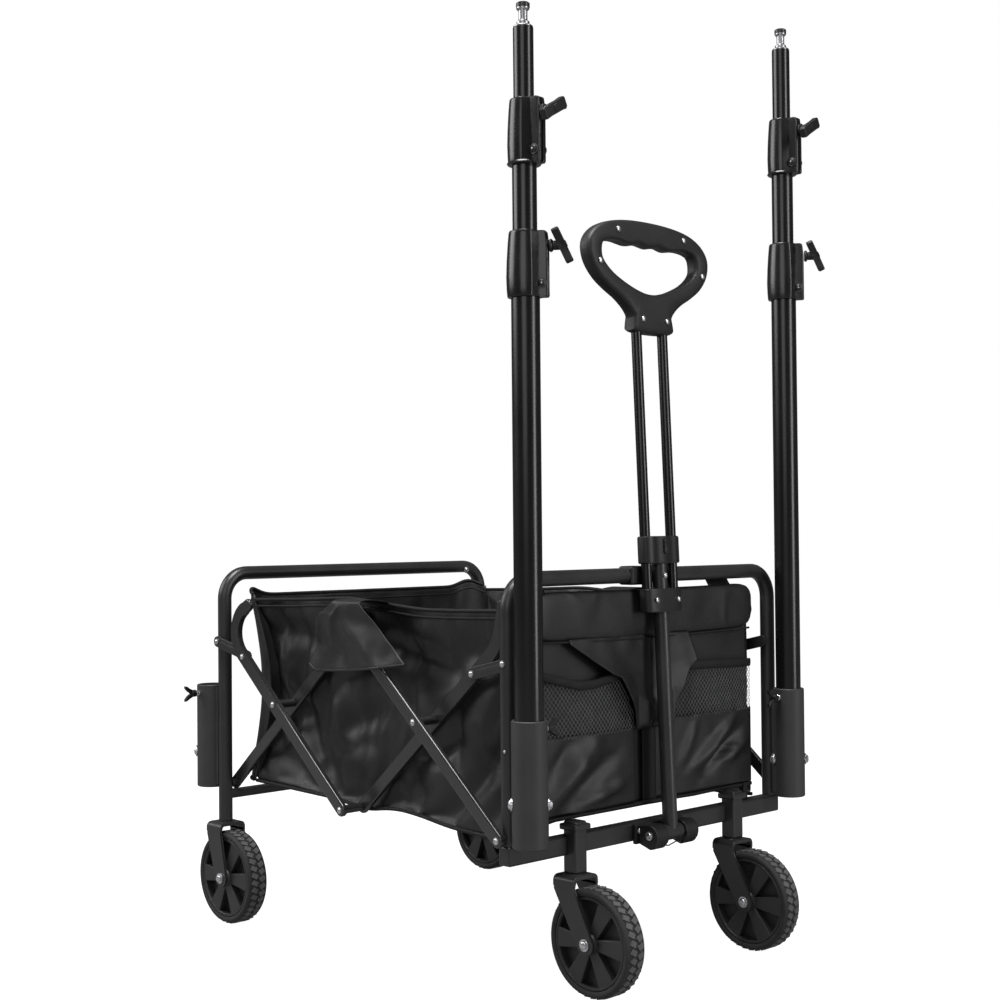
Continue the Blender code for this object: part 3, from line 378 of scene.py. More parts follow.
# Geometry Nodes: heads of screws, rivets and nuts, the tyres' tread and the pockets' nets
def startGeometry(name, **inputs):
    inputs = {"Geometry": "Geometry", **inputs, "Material": "Material"}
    return startTree(name, "GeometryNodeTree", inputs, {"Geometry": "Geometry"})


def endGeometry(tree, out, end, geometry):
    solid = wire(tree, "GeometryNodeRealizeInstances", {"Geometry": geometry})
    smooth = wire(tree, "GeometryNodeSetShadeSmooth", {"Geometry": solid})
    dressed = wire(tree, "GeometryNodeSetMaterial", {"Geometry": smooth, "Material": out["Material"]})
    feed(tree, end, {"Geometry": dressed})
    return tree


def runTree(name, tree, base, values, finish, body, sharp=30):
    # Keeps the tree's result on the base mesh as a piece of its own.
    holder = addObject(name + "_points", base)
    modifier = holder.modifiers.new("nodes", "NODES")
    modifier.node_group = tree
    sockets = {item.name: item.identifier for item in tree.interface.items_tree if item.in_out == "INPUT"}
    for label, value in {**values, "Material": finishes[finish]}.items():
        modifier[sockets[label]] = value
    bpy.context.view_layer.update()
    mesh = plainMesh(holder)
    bpy.data.objects.remove(holder, do_unlink=True)
    mesh.name = name
    mesh.set_sharp_from_angle(angle=math.radians(sharp))
    settle(linkMesh(name, mesh, finish), finish, body)


def makeHeadTree():
    # One head on every point: a washer, a shaft of so many sides and a dome, along "facing".
    tree, out, end = startGeometry("boltHeads", Sides="Int", Depth="Float", Dome="Float", Washer="Float")
    shaft = {"Vertices": out["Sides"], "Depth": out["Depth"], "Radius": 1.0}
    washer = {"Vertices": 24, "Depth": 0.3, "Radius": out["Washer"]}
    ball = wire(tree, "GeometryNodeMeshUVSphere", {"Segments": 20, "Rings": 12, "Radius": 0.9})
    flat = triple(tree, X=1.0, Y=1.0, Z=out["Dome"])
    lift = triple(tree, Z=calc(tree, "MULTIPLY", out["Depth"], 0.5))
    dome = wire(tree, "GeometryNodeTransform", {"Geometry": ball, "Scale": flat, "Translation": lift})
    joined = tree.nodes.new("GeometryNodeJoinGeometry")
    for part in [wire(tree, "GeometryNodeMeshCylinder", size) for size in (shaft, washer)] + [dome]:
        feed(tree, joined, {0: part})
    facing = wire(tree, "GeometryNodeInputNamedAttribute", {"Name": "facing"}, data_type="FLOAT_VECTOR")
    size = wire(tree, "GeometryNodeInputNamedAttribute", {"Name": "size"})
    turn = wire(tree, "FunctionNodeAlignRotationToVector", {"Vector": facing}, axis="Z")
    points = wire(tree, "GeometryNodeMeshToPoints", {"Mesh": out["Geometry"]})
    heads = {"Points": points, "Instance": joined.outputs[0], "Rotation": turn, "Scale": size}
    return endGeometry(tree, out, end, wire(tree, "GeometryNodeInstanceOnPoints", heads))


headTree = makeHeadTree()
headKinds = {
    "rivet": {"Sides": 24, "Depth": 0.5, "Dome": 0.45, "Washer": 1.25},
    "screw": {"Sides": 24, "Depth": 0.6, "Dome": 0.35, "Washer": 1.0},
    "nut": {"Sides": 6, "Depth": 1.1, "Dome": 0.35, "Washer": 1.35},
}


def heads(name, kind, body, spots, finish="zinc"):
    # spots: (place, facing, radius)
    base = bpy.data.meshes.new(name)
    base.from_pydata([spot[0] for spot in spots], [], [])
    facing = base.attributes.new("facing", "FLOAT_VECTOR", "POINT")
    facing.data.foreach_set("vector", [x for spot in spots for x in Vector(spot[1]).normalized()])
    size = base.attributes.new("size", "FLOAT", "POINT")
    size.data.foreach_set("value", [spot[2] for spot in spots])
    runTree(name, headTree, base, headKinds[kind], finish, body)


# Hoops, cross tubes and pole sockets
hoop = {"bend": 0.038, "steps": 14, "corner": 0.0096, "rivet": 0.0034, "pip": 0.0017, "pipDrop": 0.024,
        "pipAhead": 0.003, "stud": 0.00408, "studDrop": 0.005}
crossTube = {"rise": 0.014, "corner": 0.003, "rearGap": 0.010, "rearTall": 0.012}
housing = {"size": 0.022, "drop": 0.0325, "rise": 0.033, "corner": 0.003, "capSize": 0.029,
           "capTall": 0.008, "capDrop": 0.0032, "capCorner": 0.0022, "bush": 0.0098, "bushLow": 0.0002,
           "bushHigh": 0.004}


def hoopRings(y, foot):
    section, bend = roundRect(tubeSize, tubeSize, hoop["corner"], 5), hoop["bend"]
    cornerX, cornerZ = legX - bend, hoopZ - bend
    stations = [(-legX, foot, math.pi / 2)]
    for side, start in ((-1, math.pi), (1, math.pi / 2)):
        for step in range(hoop["steps"] + 1):
            angle = start - math.pi / 2 * step / hoop["steps"]
            x, z = side * cornerX + bend * math.cos(angle), cornerZ + bend * math.sin(angle)
            stations.append((x, z, angle - math.pi / 2))
    stations.append((legX, foot, -math.pi / 2))
    rings = []
    for x, z, heading in stations:
        across = Vector((math.sin(heading), 0, -math.cos(heading)))
        rings.append([Vector((x, y + v, z)) + across * u for u, v in section])
    return rings


def makeFrames():
    b = bmesh.new()
    addRings(b, hoopRings(frontY, hoopLow.z))
    keep("front_hoop_tube", b, "paint", "front_frame", ["front_hoop"])
    b = bmesh.new()
    addRings(b, hoopRings(rearY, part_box("rear_frame")[0].z))
    top = pivotZ - crossTube["rearGap"]
    low = (-legX, rearY - tubeHalf, top - crossTube["rearTall"])
    addBlock(b, low, (legX, rearY + tubeHalf, top), crossTube["corner"])
    keep("rear_hoop_tube", b, "paint", "rear_frame", ["rear_frame"])
    b = bmesh.new()
    low = (-legX - tubeHalf, frontY - tubeHalf, baseZ - tubeHalf)
    addBlock(b, low, (legX + tubeHalf, frontY + tubeHalf, baseZ + crossTube["rise"]), crossTube["corner"])
    for side, word in sides:
        x, y, z = pivot(word + "_caster_swivel")
        size, cap, top = housing["size"] / 2, housing["capSize"] / 2, z + housing["rise"]
        foot = z - housing["drop"]
        addBlock(b, (x - size, y - size, foot), (x + size, y + size, top), housing["corner"])
        low = (x - cap, y - cap, top - housing["capDrop"] - housing["capTall"])
        addBlock(b, low, (x + cap, y + cap, top - housing["capDrop"]), housing["capCorner"])
        addPin(b, (x, y, foot - housing["bushLow"]), (x, y, foot + housing["bushHigh"]), housing["bush"])
    keep("front_cross_tube_welded", b, "paint", "front_frame", ["front_cross_tube"])
    for end, word in ends:
        spots = []
        for side in (-1, 1):
            face = side * (legX + tubeHalf)
            spots.append(((face, endY[end], linkZ), (side, 0, 0), hoop["rivet"]))
            if end < 0:
                pip = (face, frontY - hoop["pipAhead"], crossZ - hoop["pipDrop"])
                spots.append((pip, (side, 0, 0), hoop["pip"]))
        if end > 0:
            stud = (legX - hoop["bend"], rearY - tubeHalf, hoopZ - hoop["studDrop"])
            spots.append((stud, (0, -1, 0), hoop["stud"]))
        heads(word + "_leg_rivets", "rivet", word + "_frame", spots)


poleSocket = {"radius": 0.022, "bore": 0.018, "rim": 0.0012, "web": 0.014, "webInset": 0.004,
              "webCorner": 0.0012, "stopRise": 0.052, "stop": 0.0038, "bolt": 0.0058,
              "boltWay": (0.724, -0.69), "headOut": 0.0006, "headGrow": 1.15, "webLap": 0.002,
              "plate": ((0.0008, 0.0004), (0.019, 0.0004), (0.019, 0.002), (0.0008, 0.002))}


def makeSocket(end, endWord, word):
    node, body = endWord + "_" + word + "_socket", endWord + "_frame"
    centre, low, high = pivot(endWord + "_" + word + "_screw_turn"), *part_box(node)
    middle = Matrix.Translation((centre.x, centre.y, 0))
    b = bmesh.new()
    radius, bore, rim = poleSocket["radius"], poleSocket["bore"], poleSocket["rim"]
    profile = [(bore, low.z), (radius - rim, low.z), (radius, low.z + rim), (radius, high.z - rim),
               (radius - rim, high.z), (bore + rim / 2, high.z), (bore, high.z - rim)]
    addTurned(b, profile, middle, 56, True)
    web, inset, wall = poleSocket["web"] / 2, poleSocket["webInset"], radius - poleSocket["webLap"]
    lowY, highY = sorted((centre.y - end * wall, endY[end] + end * (tubeHalf + leastGap)))
    webHigh = (centre.x + web, highY, high.z - inset)
    addBlock(b, (centre.x - web, lowY, low.z + inset), webHigh, poleSocket["webCorner"], 2)
    axle = Vector((*poleSocket["boltWay"], 0))
    seat = Vector((centre.x, centre.y, low.z + poleSocket["stopRise"]))
    addPin(b, seat - axle * radius, seat + axle * radius, poleSocket["stop"])
    addTurned(b, [(r, low.z + z) for r, z in poleSocket["plate"]], middle, 40)
    keep(node + "_tube", b, "socketPaint", body, [node])
    reach, size = radius + poleSocket["headOut"], poleSocket["bolt"]
    heads(node + "_nut", "nut", body, [(seat + axle * reach, axle, size)])
    head = (seat - axle * reach, -axle, size * poleSocket["headGrow"])
    heads(node + "_bolt", "rivet", body, [head])


wingScrew = {"tip": 0.0178, "shank": 0.003, "shankEnd": 0.030, "turns": 5, "threadStart": 0.0228,
             "pitch": 0.0011, "ridge": 0.0007, "ridgeRise": 0.0005, "washer": 0.0050,
             "washerStart": 0.0268, "bossStart": 0.0285, "bossEnd": 0.0365, "boss": 0.0053,
             "wingHalf": 0.0024, "wingEdge": 0.0011,
             "wing": ((0.029, 0.002), (0.036, 0.0045), (0.0435, 0.0108), (0.0476, 0.0116),
                      (0.0476, 0.0080), (0.0425, 0.0030), (0.0385, 0))}


def makeWingScrew(endWord, word):
    name = endWord + "_" + word
    node, body = name + "_wing_screw", name + "_screw"
    centre, low, high = pivot(name + "_screw_turn"), *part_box(node)
    out = 1 if high.x - centre.x > centre.x - low.x else -1
    reach, shank, thick = Vector((out, 0, 0)), wingScrew["shank"], wingScrew["wingHalf"]

    def pin(start, end, *sizes):
        addPin(b, centre + reach * start, centre + reach * end, *sizes)

    b = bmesh.new()
    pin(wingScrew["tip"], wingScrew["shankEnd"], shank)
    for turn in range(wingScrew["turns"]):
        start = wingScrew["threadStart"] + wingScrew["pitch"] * turn
        pin(start, start + wingScrew["ridge"], shank + wingScrew["ridgeRise"], 0.0002)
    pin(wingScrew["washerStart"], wingScrew["bossStart"], wingScrew["washer"])
    keep(node + "_thread", b, "zinc", body)
    b = bmesh.new()
    pin(wingScrew["bossStart"], wingScrew["bossEnd"], wingScrew["boss"], 0.0012)
    for up in (-1, 1):
        points = [(centre.x + out * u, centre.z + up * v) for u, v in wingScrew["wing"]]
        addPrism(b, points, alongY, centre.y - thick, centre.y + thick, wingScrew["wingEdge"], 2)
    keep(node + "_wings", b, "plastic", body, [node])


makeFrames()
for end, endWord in ends:
    for side, word in sides:
        makeSocket(end, endWord, word)
        makeWingScrew(endWord, word)
print("frames, sockets and wing screws")


# Stand poles
pole = {"wall": 0.002, "edge": 0.0008, "spigotTall": 0.0305, "spigot": 0.008, "neck": 0.0055,
        "seat": ((0.0004, 0.0002), (0.0004, 0.0012), (0.0016, 0.0024)), "seatTall": 0.0028,
        "neckShares": (0.22, 0.3, 0.66, 0.74), "spigotEdge": 0.0016, "tipDrop": 0.0004,
        "cap": ((-0.0006, 0.0066), (0.0004, 0.0062), (0.0004, 0.0012), (-0.0010, 0))}
collar = {"wall": 0.0045, "earReach": 0.029, "earWidth": 0.015, "corner": 0.0028, "slot": 0.0012,
          "flank": 58, "slotIn": 0.004, "slotEdge": 0.0008, "earRoot": 0.86, "earFull": 0.0006,
          "earGrow": 0.04, "endInset": 0.0012, "boltRise": 0.2, "boltIn": 0.0075, "bolt": 0.0052,
          "pipOut": 0.0024, "pip": 0.0017,
          "bead": ((0.0004, 0.0002), (0.0052, 0.0004), (0.0062, 0.0020), (0.0052, 0.0036),
                   (0.0004, 0.0038))}
# A collar's swell at shares of its height
collarSwell = ((0, 0.97), (0.02, 1.0), (0.12, 1.03), (0.30, 1.05), (0.55, 1.02), (0.80, 0.96),
               (0.95, 0.91), (0.985, 0.89), (1.0, 0.86))
knob = {"boss": 0.008, "bossMid": 0.034, "neckEnd": 0.0445, "bossEnd": 0.041, "barEnd": 0.050,
        "barTall": 0.046, "barEdge": 0.0018, "button": 0.0048, "lowerLean": 12, "upperLean": -61,
        "lowerSlant": -24, "upperSlant": 0, "gap": 0.0005, "bossEdge": 0.0015, "neckShare": 0.72,
        "neckEdge": 0.0008, "buttonIn": 0.002, "buttonOut": 0.0012, "buttonEdge": 0.001,
        "bow": ((0.0048, 0), (0.0066, 0.5), (0.0078, 0.86), (0.0052, 1), (-0.0062, 1), (-0.0078, 0.9),
                (-0.0066, 0.5))}


def poleTube(word, name, body):
    node = word + "_pole_" + name
    low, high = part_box(node)
    radius, edge, top = (high.x - low.x) / 2, pole["edge"], high.z
    middle = Matrix.Translation(((low.x + high.x) / 2, (low.y + high.y) / 2, 0))
    bore = radius - pole["wall"]
    if name == "top_tube":
        top = Vector(frame["record"]["mounts"][0 if word == "left" else 1]["pos_m"]).z - pole["spigotTall"]
    b = bmesh.new()
    profile = [(bore, low.z), (radius - edge, low.z), (radius, low.z + edge), (radius, top - edge),
               (radius - edge, top), (bore, top)]
    addTurned(b, profile, middle, 64, True)
    keep(node + "_turned", b, "anodised", body, [node])
    return middle, radius, top, high.z


def makeSpigot(word, middle, radius, low, high):
    tall, wide, neck, body = high - low, pole["spigot"], pole["neck"], word + "_pole_top"
    b = bmesh.new()
    edge, waist = pole["spigotEdge"], zip((wide, neck, neck, wide), pole["neckShares"])
    profile = [(radius - r, low + z) for r, z in pole["seat"]] + [(wide, low + pole["seatTall"])]
    profile += [(r, low + share * tall) for r, share in waist]
    profile += [(wide, high - edge), (wide - edge, high - pole["tipDrop"])]
    addTurned(b, profile, middle, 40)
    keep(word + "_pole_spigot", b, "steel", body)
    b = bmesh.new()
    addTurned(b, [(wide + r, high - z) for r, z in pole["cap"]], middle, 40)
    keep(word + "_pole_spigot_cap", b, "darkBolt", body)


def collarOutline(radius):
    # Barrel with two flat flanks that run into a split clamp ear along +X.
    half, reach = collar["earWidth"] / 2, collar["earReach"]
    slot, corner, edge = collar["slot"], collar["corner"], collar["slotEdge"]
    outline = [(radius - collar["slotIn"], slot), (reach - edge, slot), (reach, slot + edge)]
    outline.append((reach, half - corner))
    for step in (1, 2, 3):
        turn = math.pi / 2 * step / 3
        outline.append((reach - corner + corner * math.cos(turn), half - corner + corner * math.sin(turn)))
    outline.append((radius * collar["earRoot"], half + collar["earFull"]))
    for step in range(37):
        turn = math.radians(collar["flank"] + (180 - collar["flank"]) * step / 36)
        outline.append((radius * math.cos(turn), radius * math.sin(turn)))
    return outline + [(x, -y) for x, y in reversed(outline[:-1])]


def facingOf(way):
    return Matrix.Rotation(math.atan2(way[1], way[0]), 4, "Z")


def makeCollar(word, level, body, middle, below):
    node = word + "_pole_" + level + "_collar"
    low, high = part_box(node)
    tall, radius = high.z - low.z, below + collar["wall"]
    turn = middle @ facingOf(Vector(joints[word + "_" + level + "_knob_turn"]["axis"]))
    b = bmesh.new()
    rings = []
    for share, swell in collarSwell:
        ring = []
        for x, y in collarOutline(radius):
            onBarrel = math.hypot(x, y) < radius * 1.001 and x < radius * 0.6
            grow = swell if onBarrel else min(1.0, swell + collar["earGrow"])
            inset = collar["endInset"] if share in (0, 1.0) and x > radius else 0
            ring.append(turn @ Vector((x * grow - inset, y * grow, low.z + share * tall)))
        rings.append(ring)
    addRings(b, rings)
    if level == "upper":
        addTurned(b, [(below + r, low.z + z) for r, z in collar["bead"]], middle, 48, True)
    keep(node + "_cast", b, "collarMetal", body, [node], 40)
    spots, pips = [], []
    for across in (-1, 1):
        out = across * (collar["earWidth"] / 2 + collar["earFull"])
        rise = low.z + collar["boltRise"] * tall
        spot = turn @ Vector((collar["earReach"] - collar["boltIn"], out, rise))
        facing = turn.to_3x3() @ Vector((0, across, 0))
        spots.append((spot, facing, collar["bolt"]))
        pips.append((spot + collar["pipOut"] * facing, facing, collar["pip"]))
    heads(node + "_ear_bolt", "rivet", body, spots, "darkBolt")
    heads(node + "_ear_pip", "screw", body, pips)


def makeKnob(word, level):
    joint = joints[word + "_" + level + "_knob_turn"]
    node, body = word + "_pole_" + level + "_knob", word + "_" + level + "_knob"
    turn = Matrix.Translation(Vector(joint["pos_m"])) @ facingOf(Vector(joint["axis"]))
    low, high, half = knob["bossEnd"], knob["barEnd"], knob["barTall"] / 2
    b = bmesh.new()

    def pin(place, start, end, *sizes):
        addPin(b, place @ Vector((start, 0, 0)), place @ Vector((end, 0, 0)), *sizes)

    pin(turn, collar["earReach"] + knob["gap"], knob["bossMid"], knob["boss"], knob["bossEdge"], 36)
    neck = knob["boss"] * knob["neckShare"]
    pin(turn, knob["bossMid"], knob["neckEnd"], neck, knob["neckEdge"], 32)
    bow = [(x, z * half) for x, z in knob["bow"]]
    bow += [(-x, -z) for x, z in bow]
    middle = (low + high) / 2
    slant = Matrix.Rotation(math.radians(knob[level + "Slant"]), 4, "Y")
    tilt = turn @ Matrix.Translation((middle, 0, 0)) @ slant @ Matrix.Translation((-middle, 0, 0))
    tilt = tilt @ Matrix.Rotation(math.radians(knob[level + "Lean"]), 4, "X")
    addPrism(b, bow, alongX, low, high, knob["barEdge"], 3, tilt)
    pin(tilt, high - knob["buttonIn"], high + knob["buttonOut"], knob["button"], knob["buttonEdge"])
    keep(node + "_moulded", b, "plastic", body, [node])


for side, word in sides:
    middle, lower, top, high = poleTube(word, "lower_tube", word + "_pole")
    middle, inner, top, high = poleTube(word, "middle_tube", word + "_pole_middle")
    middle, upper, top, high = poleTube(word, "top_tube", word + "_pole_top")
    makeSpigot(word, middle, upper, top, high)
    makeCollar(word, "lower", word + "_pole", middle, lower)
    makeCollar(word, "upper", word + "_pole_middle", middle, inner)
    makeKnob(word, "lower")
    makeKnob(word, "upper")
print("stand poles")


# Wheels and forks
wheel = {"radius": 0.068, "seat": 0.0575, "lip": 0.0530, "hub": 0.014, "hubHalf": 0.018, "bore": 0.0046,
         "rimHalf": 0.0146, "webHalf": 0.0026, "faceHalf": 0.0140, "spokes": 6, "spokeFoot": 0.0068,
         "spokeEnd": 0.0130, "spokeEdge": 0.0014, "tyreHalf": 0.016, "crown": 0.012, "groove": 0.0018,
         "lipEdge": ((0, 0.002), (0.0015, 0)), "seatEdge": ((-0.001, 0), (0, 0.001)), "hubEdge": 0.002,
         "webLap": 0.001, "spokeIn": 0.003, "spokeOut": 0.0015, "treadIn": 0.0004}
tread = {"Count": 40, "Row": 0.0062, "Long": 0.0070, "Wide": 0.0092, "Tall": 0.0036, "Zigzag": 0.55}
fork = {"plate": 0.004, "depth": 0.036, "endRadius": 0.0135, "headroom": 0.0075, "bend": 0.0075,
        "axle": 0.004, "bolt": 0.0056, "boltOut": 0.0006, "race": 0.0135, "stem": 0.0058,
        "stemRise": 0.012, "hubGap": 0.0005, "shoulder": 3.4, "edge": 0.0009, "legEdge": 0.001,
        "legLap": 0.004, "legIn": 0.001, "legFace": 0.0002}


def makeTreadTree():
    # Two rows of slanted blocks round a wheel, each row half a pitch from the other.
    kinds = dict.fromkeys(("Radius", "Row", "Long", "Wide", "Tall", "Zigzag"), "Float")
    tree, out, end = startGeometry("tyreTread", Count="Int", Hub="Vector", **kinds)
    joined = tree.nodes.new("GeometryNodeJoinGeometry")
    size = triple(tree, X=out["Wide"], Y=out["Long"], Z=out["Tall"])
    block = wire(tree, "GeometryNodeMeshCube", {"Size": size})
    ring = wire(tree, "GeometryNodeMeshCircle", {"Vertices": out["Count"], "Radius": out["Radius"]})
    for side in (-1, 1):
        spin = triple(tree, Z=calc(tree, "DIVIDE", math.pi / 2 * (1 + side), out["Count"]))
        shift = triple(tree, Z=calc(tree, "MULTIPLY", out["Row"], side))
        row = {"Geometry": ring, "Rotation": spin, "Translation": shift}
        spot = wire(tree, "GeometryNodeInputPosition")
        flat = wire(tree, "ShaderNodeVectorMath", {0: spot, 1: (1, 1, 0)}, operation="MULTIPLY")
        face = wire(tree, "FunctionNodeAlignRotationToVector", {"Vector": flat}, axis="Z")
        square = wire(tree, "FunctionNodeAlignRotationToVector", {"Rotation": face, "Vector": (0, 0, 1)},
                      axis="X", pivot_axis="Z")
        slant = triple(tree, Z=calc(tree, "MULTIPLY", out["Zigzag"], side))
        turned = wire(tree, "FunctionNodeRotateRotation", {"Rotation": square, "Rotate By": slant},
                      rotation_space="LOCAL")
        circled = wire(tree, "GeometryNodeTransform", row)
        blocks = {"Points": circled, "Instance": block, "Rotation": turned}
        feed(tree, joined, {0: wire(tree, "GeometryNodeInstanceOnPoints", blocks)})
    upright = {"Geometry": joined.outputs[0], "Translation": out["Hub"], "Rotation": (0, math.pi / 2, 0)}
    return endGeometry(tree, out, end, wire(tree, "GeometryNodeTransform", upright))


treadTree = makeTreadTree()


def mirrored(points):
    return points + [(x, -y) for x, y in reversed(points)]


def makeWheel(name):
    hub, body = pivot(name + "_wheel_spin"), name + "_wheel"
    upright = Matrix.Translation(hub) @ Matrix.Rotation(math.pi / 2, 4, "Y")
    b = bmesh.new()
    seat, lip, rim, web = wheel["seat"] - leastGap, wheel["lip"], wheel["rimHalf"], wheel["webHalf"]
    ring = [(lip + r, -rim + z) for r, z in wheel["lipEdge"]]
    ring += [(seat + r, -rim + z) for r, z in wheel["seatEdge"]]
    addTurned(b, mirrored(ring), upright, 84, True)
    half, radius, edge, lap = wheel["hubHalf"], wheel["hub"], wheel["hubEdge"], wheel["webLap"]
    barrel = [(wheel["bore"], -half), (radius - 2 * edge, -half), (radius - edge, -half + edge),
              (radius, -rim + edge)]
    addTurned(b, mirrored(barrel), upright, 40, True)
    addTurned(b, mirrored([(radius - lap, -web), (lip + lap, -web)]), upright, 60, True)
    near, far = radius - wheel["spokeIn"], lip + wheel["spokeOut"]
    foot, end = wheel["spokeFoot"], wheel["spokeEnd"]
    wedge, face = [(near, -foot), (far, -end), (far, end), (near, foot)], wheel["faceHalf"]
    for k in range(wheel["spokes"]):
        turn = upright @ Matrix.Rotation(2 * math.pi * (k + 0.5) / wheel["spokes"], 4, "Z")
        addPrism(b, wedge, alongZ, -face, face, wheel["spokeEdge"], 3, turn)
    keep(name + "_spoked_rim", b, "wheelPlastic", body, [name + "_rim"])
    b = bmesh.new()
    seat, outer, width = wheel["seat"], wheel["radius"] - wheel["groove"], wheel["tyreHalf"]
    wall = [(seat, 0.0138), (seat + 0.0005, 0.0148), (seat + 0.003, width - 0.0003),
            (outer - 0.0036, width), (outer - 0.0014, width - 0.0010), (outer - 0.0002, wheel["crown"])]
    addTurned(b, mirrored(wall), upright, 84, True)
    keep(name + "_tyre_tube", b, "rubber", body, [name + "_tyre"], 50)
    radius = wheel["radius"] - tread["Tall"] / 2 - wheel["treadIn"]
    values = {**tread, "Radius": radius, "Hub": tuple(hub)}
    # The blocks wear the lighter tread rubber, a painted highlight of the lit tread.
    runTree(name + "_tread", treadTree, bpy.data.meshes.new(name + "_base"), values, "tread", body)


def makeFork(node, body, stemX, stemY, hub):
    b = bmesh.new()
    plate, deep, bend = fork["plate"], fork["depth"] / 2, fork["bend"]
    inner = wheel["hubHalf"] + fork["hubGap"]
    outer, top = inner + plate, 2 * wheel["radius"] + fork["headroom"] + plate
    shoulder, inset = top - fork["shoulder"] * plate, bend - plate

    def corner(x, z, radius, turns):
        return [(x - radius + radius * math.sin(t), z - radius + radius * math.cos(t)) for t in turns]

    right = corner(outer, top, bend, (0.0, 0.4, 0.8, 1.2, math.pi / 2))
    right += [(outer, shoulder), (inner, shoulder)]
    right += corner(inner, top - plate, inset, (math.pi / 2, 1.0, 0.5, 0.0))
    outline = [(stemX + x, z) for x, z in right] + [(stemX - x, z) for x, z in reversed(right)]
    addPrism(b, outline, alongY, stemY - deep, stemY + deep, fork["edge"], 2)
    lean, radius = math.atan2(stemY - hub.y, top - hub.z), fork["endRadius"]
    turns = [math.pi - lean + math.pi * step / 14 for step in range(15)]
    leg = [(hub.y + radius * math.cos(t), hub.z + radius * math.sin(t)) for t in turns]
    low, high = shoulder - fork["legLap"], shoulder + fork["legLap"]
    near, far = stemY - deep + fork["legIn"], stemY + deep - fork["legIn"]
    leg += [(far, low), (far, high), (near, high), (near, low)]
    face = outer - fork["legFace"]
    for side in (-1, 1):
        addPrism(b, leg, alongX, stemX + side * inner, stemX + side * face, fork["legEdge"], 2)
    addPin(b, (stemX - outer, hub.y, hub.z), (stemX + outer, hub.y, hub.z), fork["axle"])
    if body != "rear_frame":
        addPin(b, (stemX, stemY, top - 0.001), (stemX, stemY, top + 0.0004), fork["race"])
        addPin(b, (stemX, stemY, top - 0.002), (stemX, stemY, baseZ + fork["stemRise"]), fork["stem"])
    keep(node + "_folded", b, "paint", body, [node])
    reach = outer + fork["boltOut"]
    spots = [((stemX + side * reach, hub.y, hub.z), (side, 0, 0), fork["bolt"]) for side in (-1, 1)]
    heads(node + "_axle_bolts", "nut", body, spots)


for side, word in sides:
    stem = pivot(word + "_caster_swivel")
    front, rear = (pivot(end + word + "_wheel_spin") for end in ("front_", "rear_"))
    makeFork(word + "_caster_fork", word + "_caster", stem.x, stem.y, front)
    makeFork("rear_" + word + "_fork", "rear_frame", side * legX, rearY, rear)
    makeWheel("front_" + word)
    makeWheel("rear_" + word)
print("wheels and forks")


# Scissor bars and links
bar = {"width": 0.018, "thick": 0.008, "edge": 0.0026, "outer": 0.275, "inner": 0.2375, "spacer": 0.0058,
       "rivet": 0.0036}
hooks = {-1: {"start": 0.135, "bend": 0.055, "turn": math.radians(40), "tip": 0.030, "steps": 10},
         1: {"start": 0.105, "bend": 0.040, "turn": math.radians(110), "tip": 0.012, "steps": 20}}
link = {"width": 0.016, "edge": 0.0009, "reach": 0.0985, "rib": 0.006, "ribEnds": (0.16, 0.84),
        "ribEdge": 0.0006, "levels": {-1: (0.2458, 0.2497), 1: (0.2703, 0.2747)}, "headOut": 0.0004,
        "ribSink": 0.0004, "ribIn": 0.0008, "ribOut": 0.0007}
quarter = (rearY - frontY) / 4
restLean = math.atan2(crossZ - pivotZ, quarter)
halfBar = math.hypot(quarter, crossZ - pivotZ)
crossY = {-1: frontY + quarter, 1: rearY - quarter}


def linkFar(end):
    away = halfBar - link["reach"]
    return (endY[end] - end * away * math.cos(restLean),
            pivotZ + (halfBar + link["reach"]) * math.sin(restLean))


def fallingPath(end):
    hook = hooks[end]
    cross = Vector((crossY[end], crossZ))
    bend = cross + hook["start"] * Vector((end * math.cos(restLean), math.sin(restLean)))
    centre = bend + hook["bend"] * Vector((-end * math.sin(restLean), math.cos(restLean)))
    path = [Vector((midY, pivotZ)), cross, bend]
    for step in range(1, hook["steps"] + 1):
        turn = restLean + hook["turn"] * step / hook["steps"]
        path.append(centre + hook["bend"] * Vector((end * math.sin(turn), -math.cos(turn))))
    last = restLean + hook["turn"]
    path.append(path[-1] + hook["tip"] * Vector((end * math.cos(last), math.sin(last))))
    return path


def makeBar(word, side, end, endWord, kind):
    rising = kind == "rising"
    outside = (end < 0) == rising
    low, thick = bar["outer" if outside else "inner"], bar["thick"]
    foot, cross, middle = (endY[end], pivotZ), (crossY[end], crossZ), (midY, apexZ if rising else pivotZ)
    path = [foot, middle] if rising else fallingPath(end)
    name = "_".join((word, endWord, kind))
    b = bmesh.new()

    def spacer(y, z, near, far):
        addPin(b, (side * near, y, z), (side * far, y, z), bar["spacer"])

    addPrism(b, ribbon(path, bar["width"] / 2), alongX, side * low, side * (low + thick), bar["edge"], 4)
    for y, z in [cross, middle] if outside else []:
        spacer(y, z, bar["inner"] + thick + leastGap, low + 0.002)
    if rising:
        spacer(*foot, legX + (tubeHalf + leastGap) * (1 if outside else -1), low + thick / 2)
    keep(name + "_pressed", b, "barPaint", name, [name + "_bar"])
    if outside:
        face = side * (low + thick)
        pins = [cross, foot, middle] if rising else [cross, middle, linkFar(end)]
        spots = [((face, y, z), (side, 0, 0), bar["rivet"]) for y, z in pins]
        heads(name + "_rivets", "rivet", name, spots)


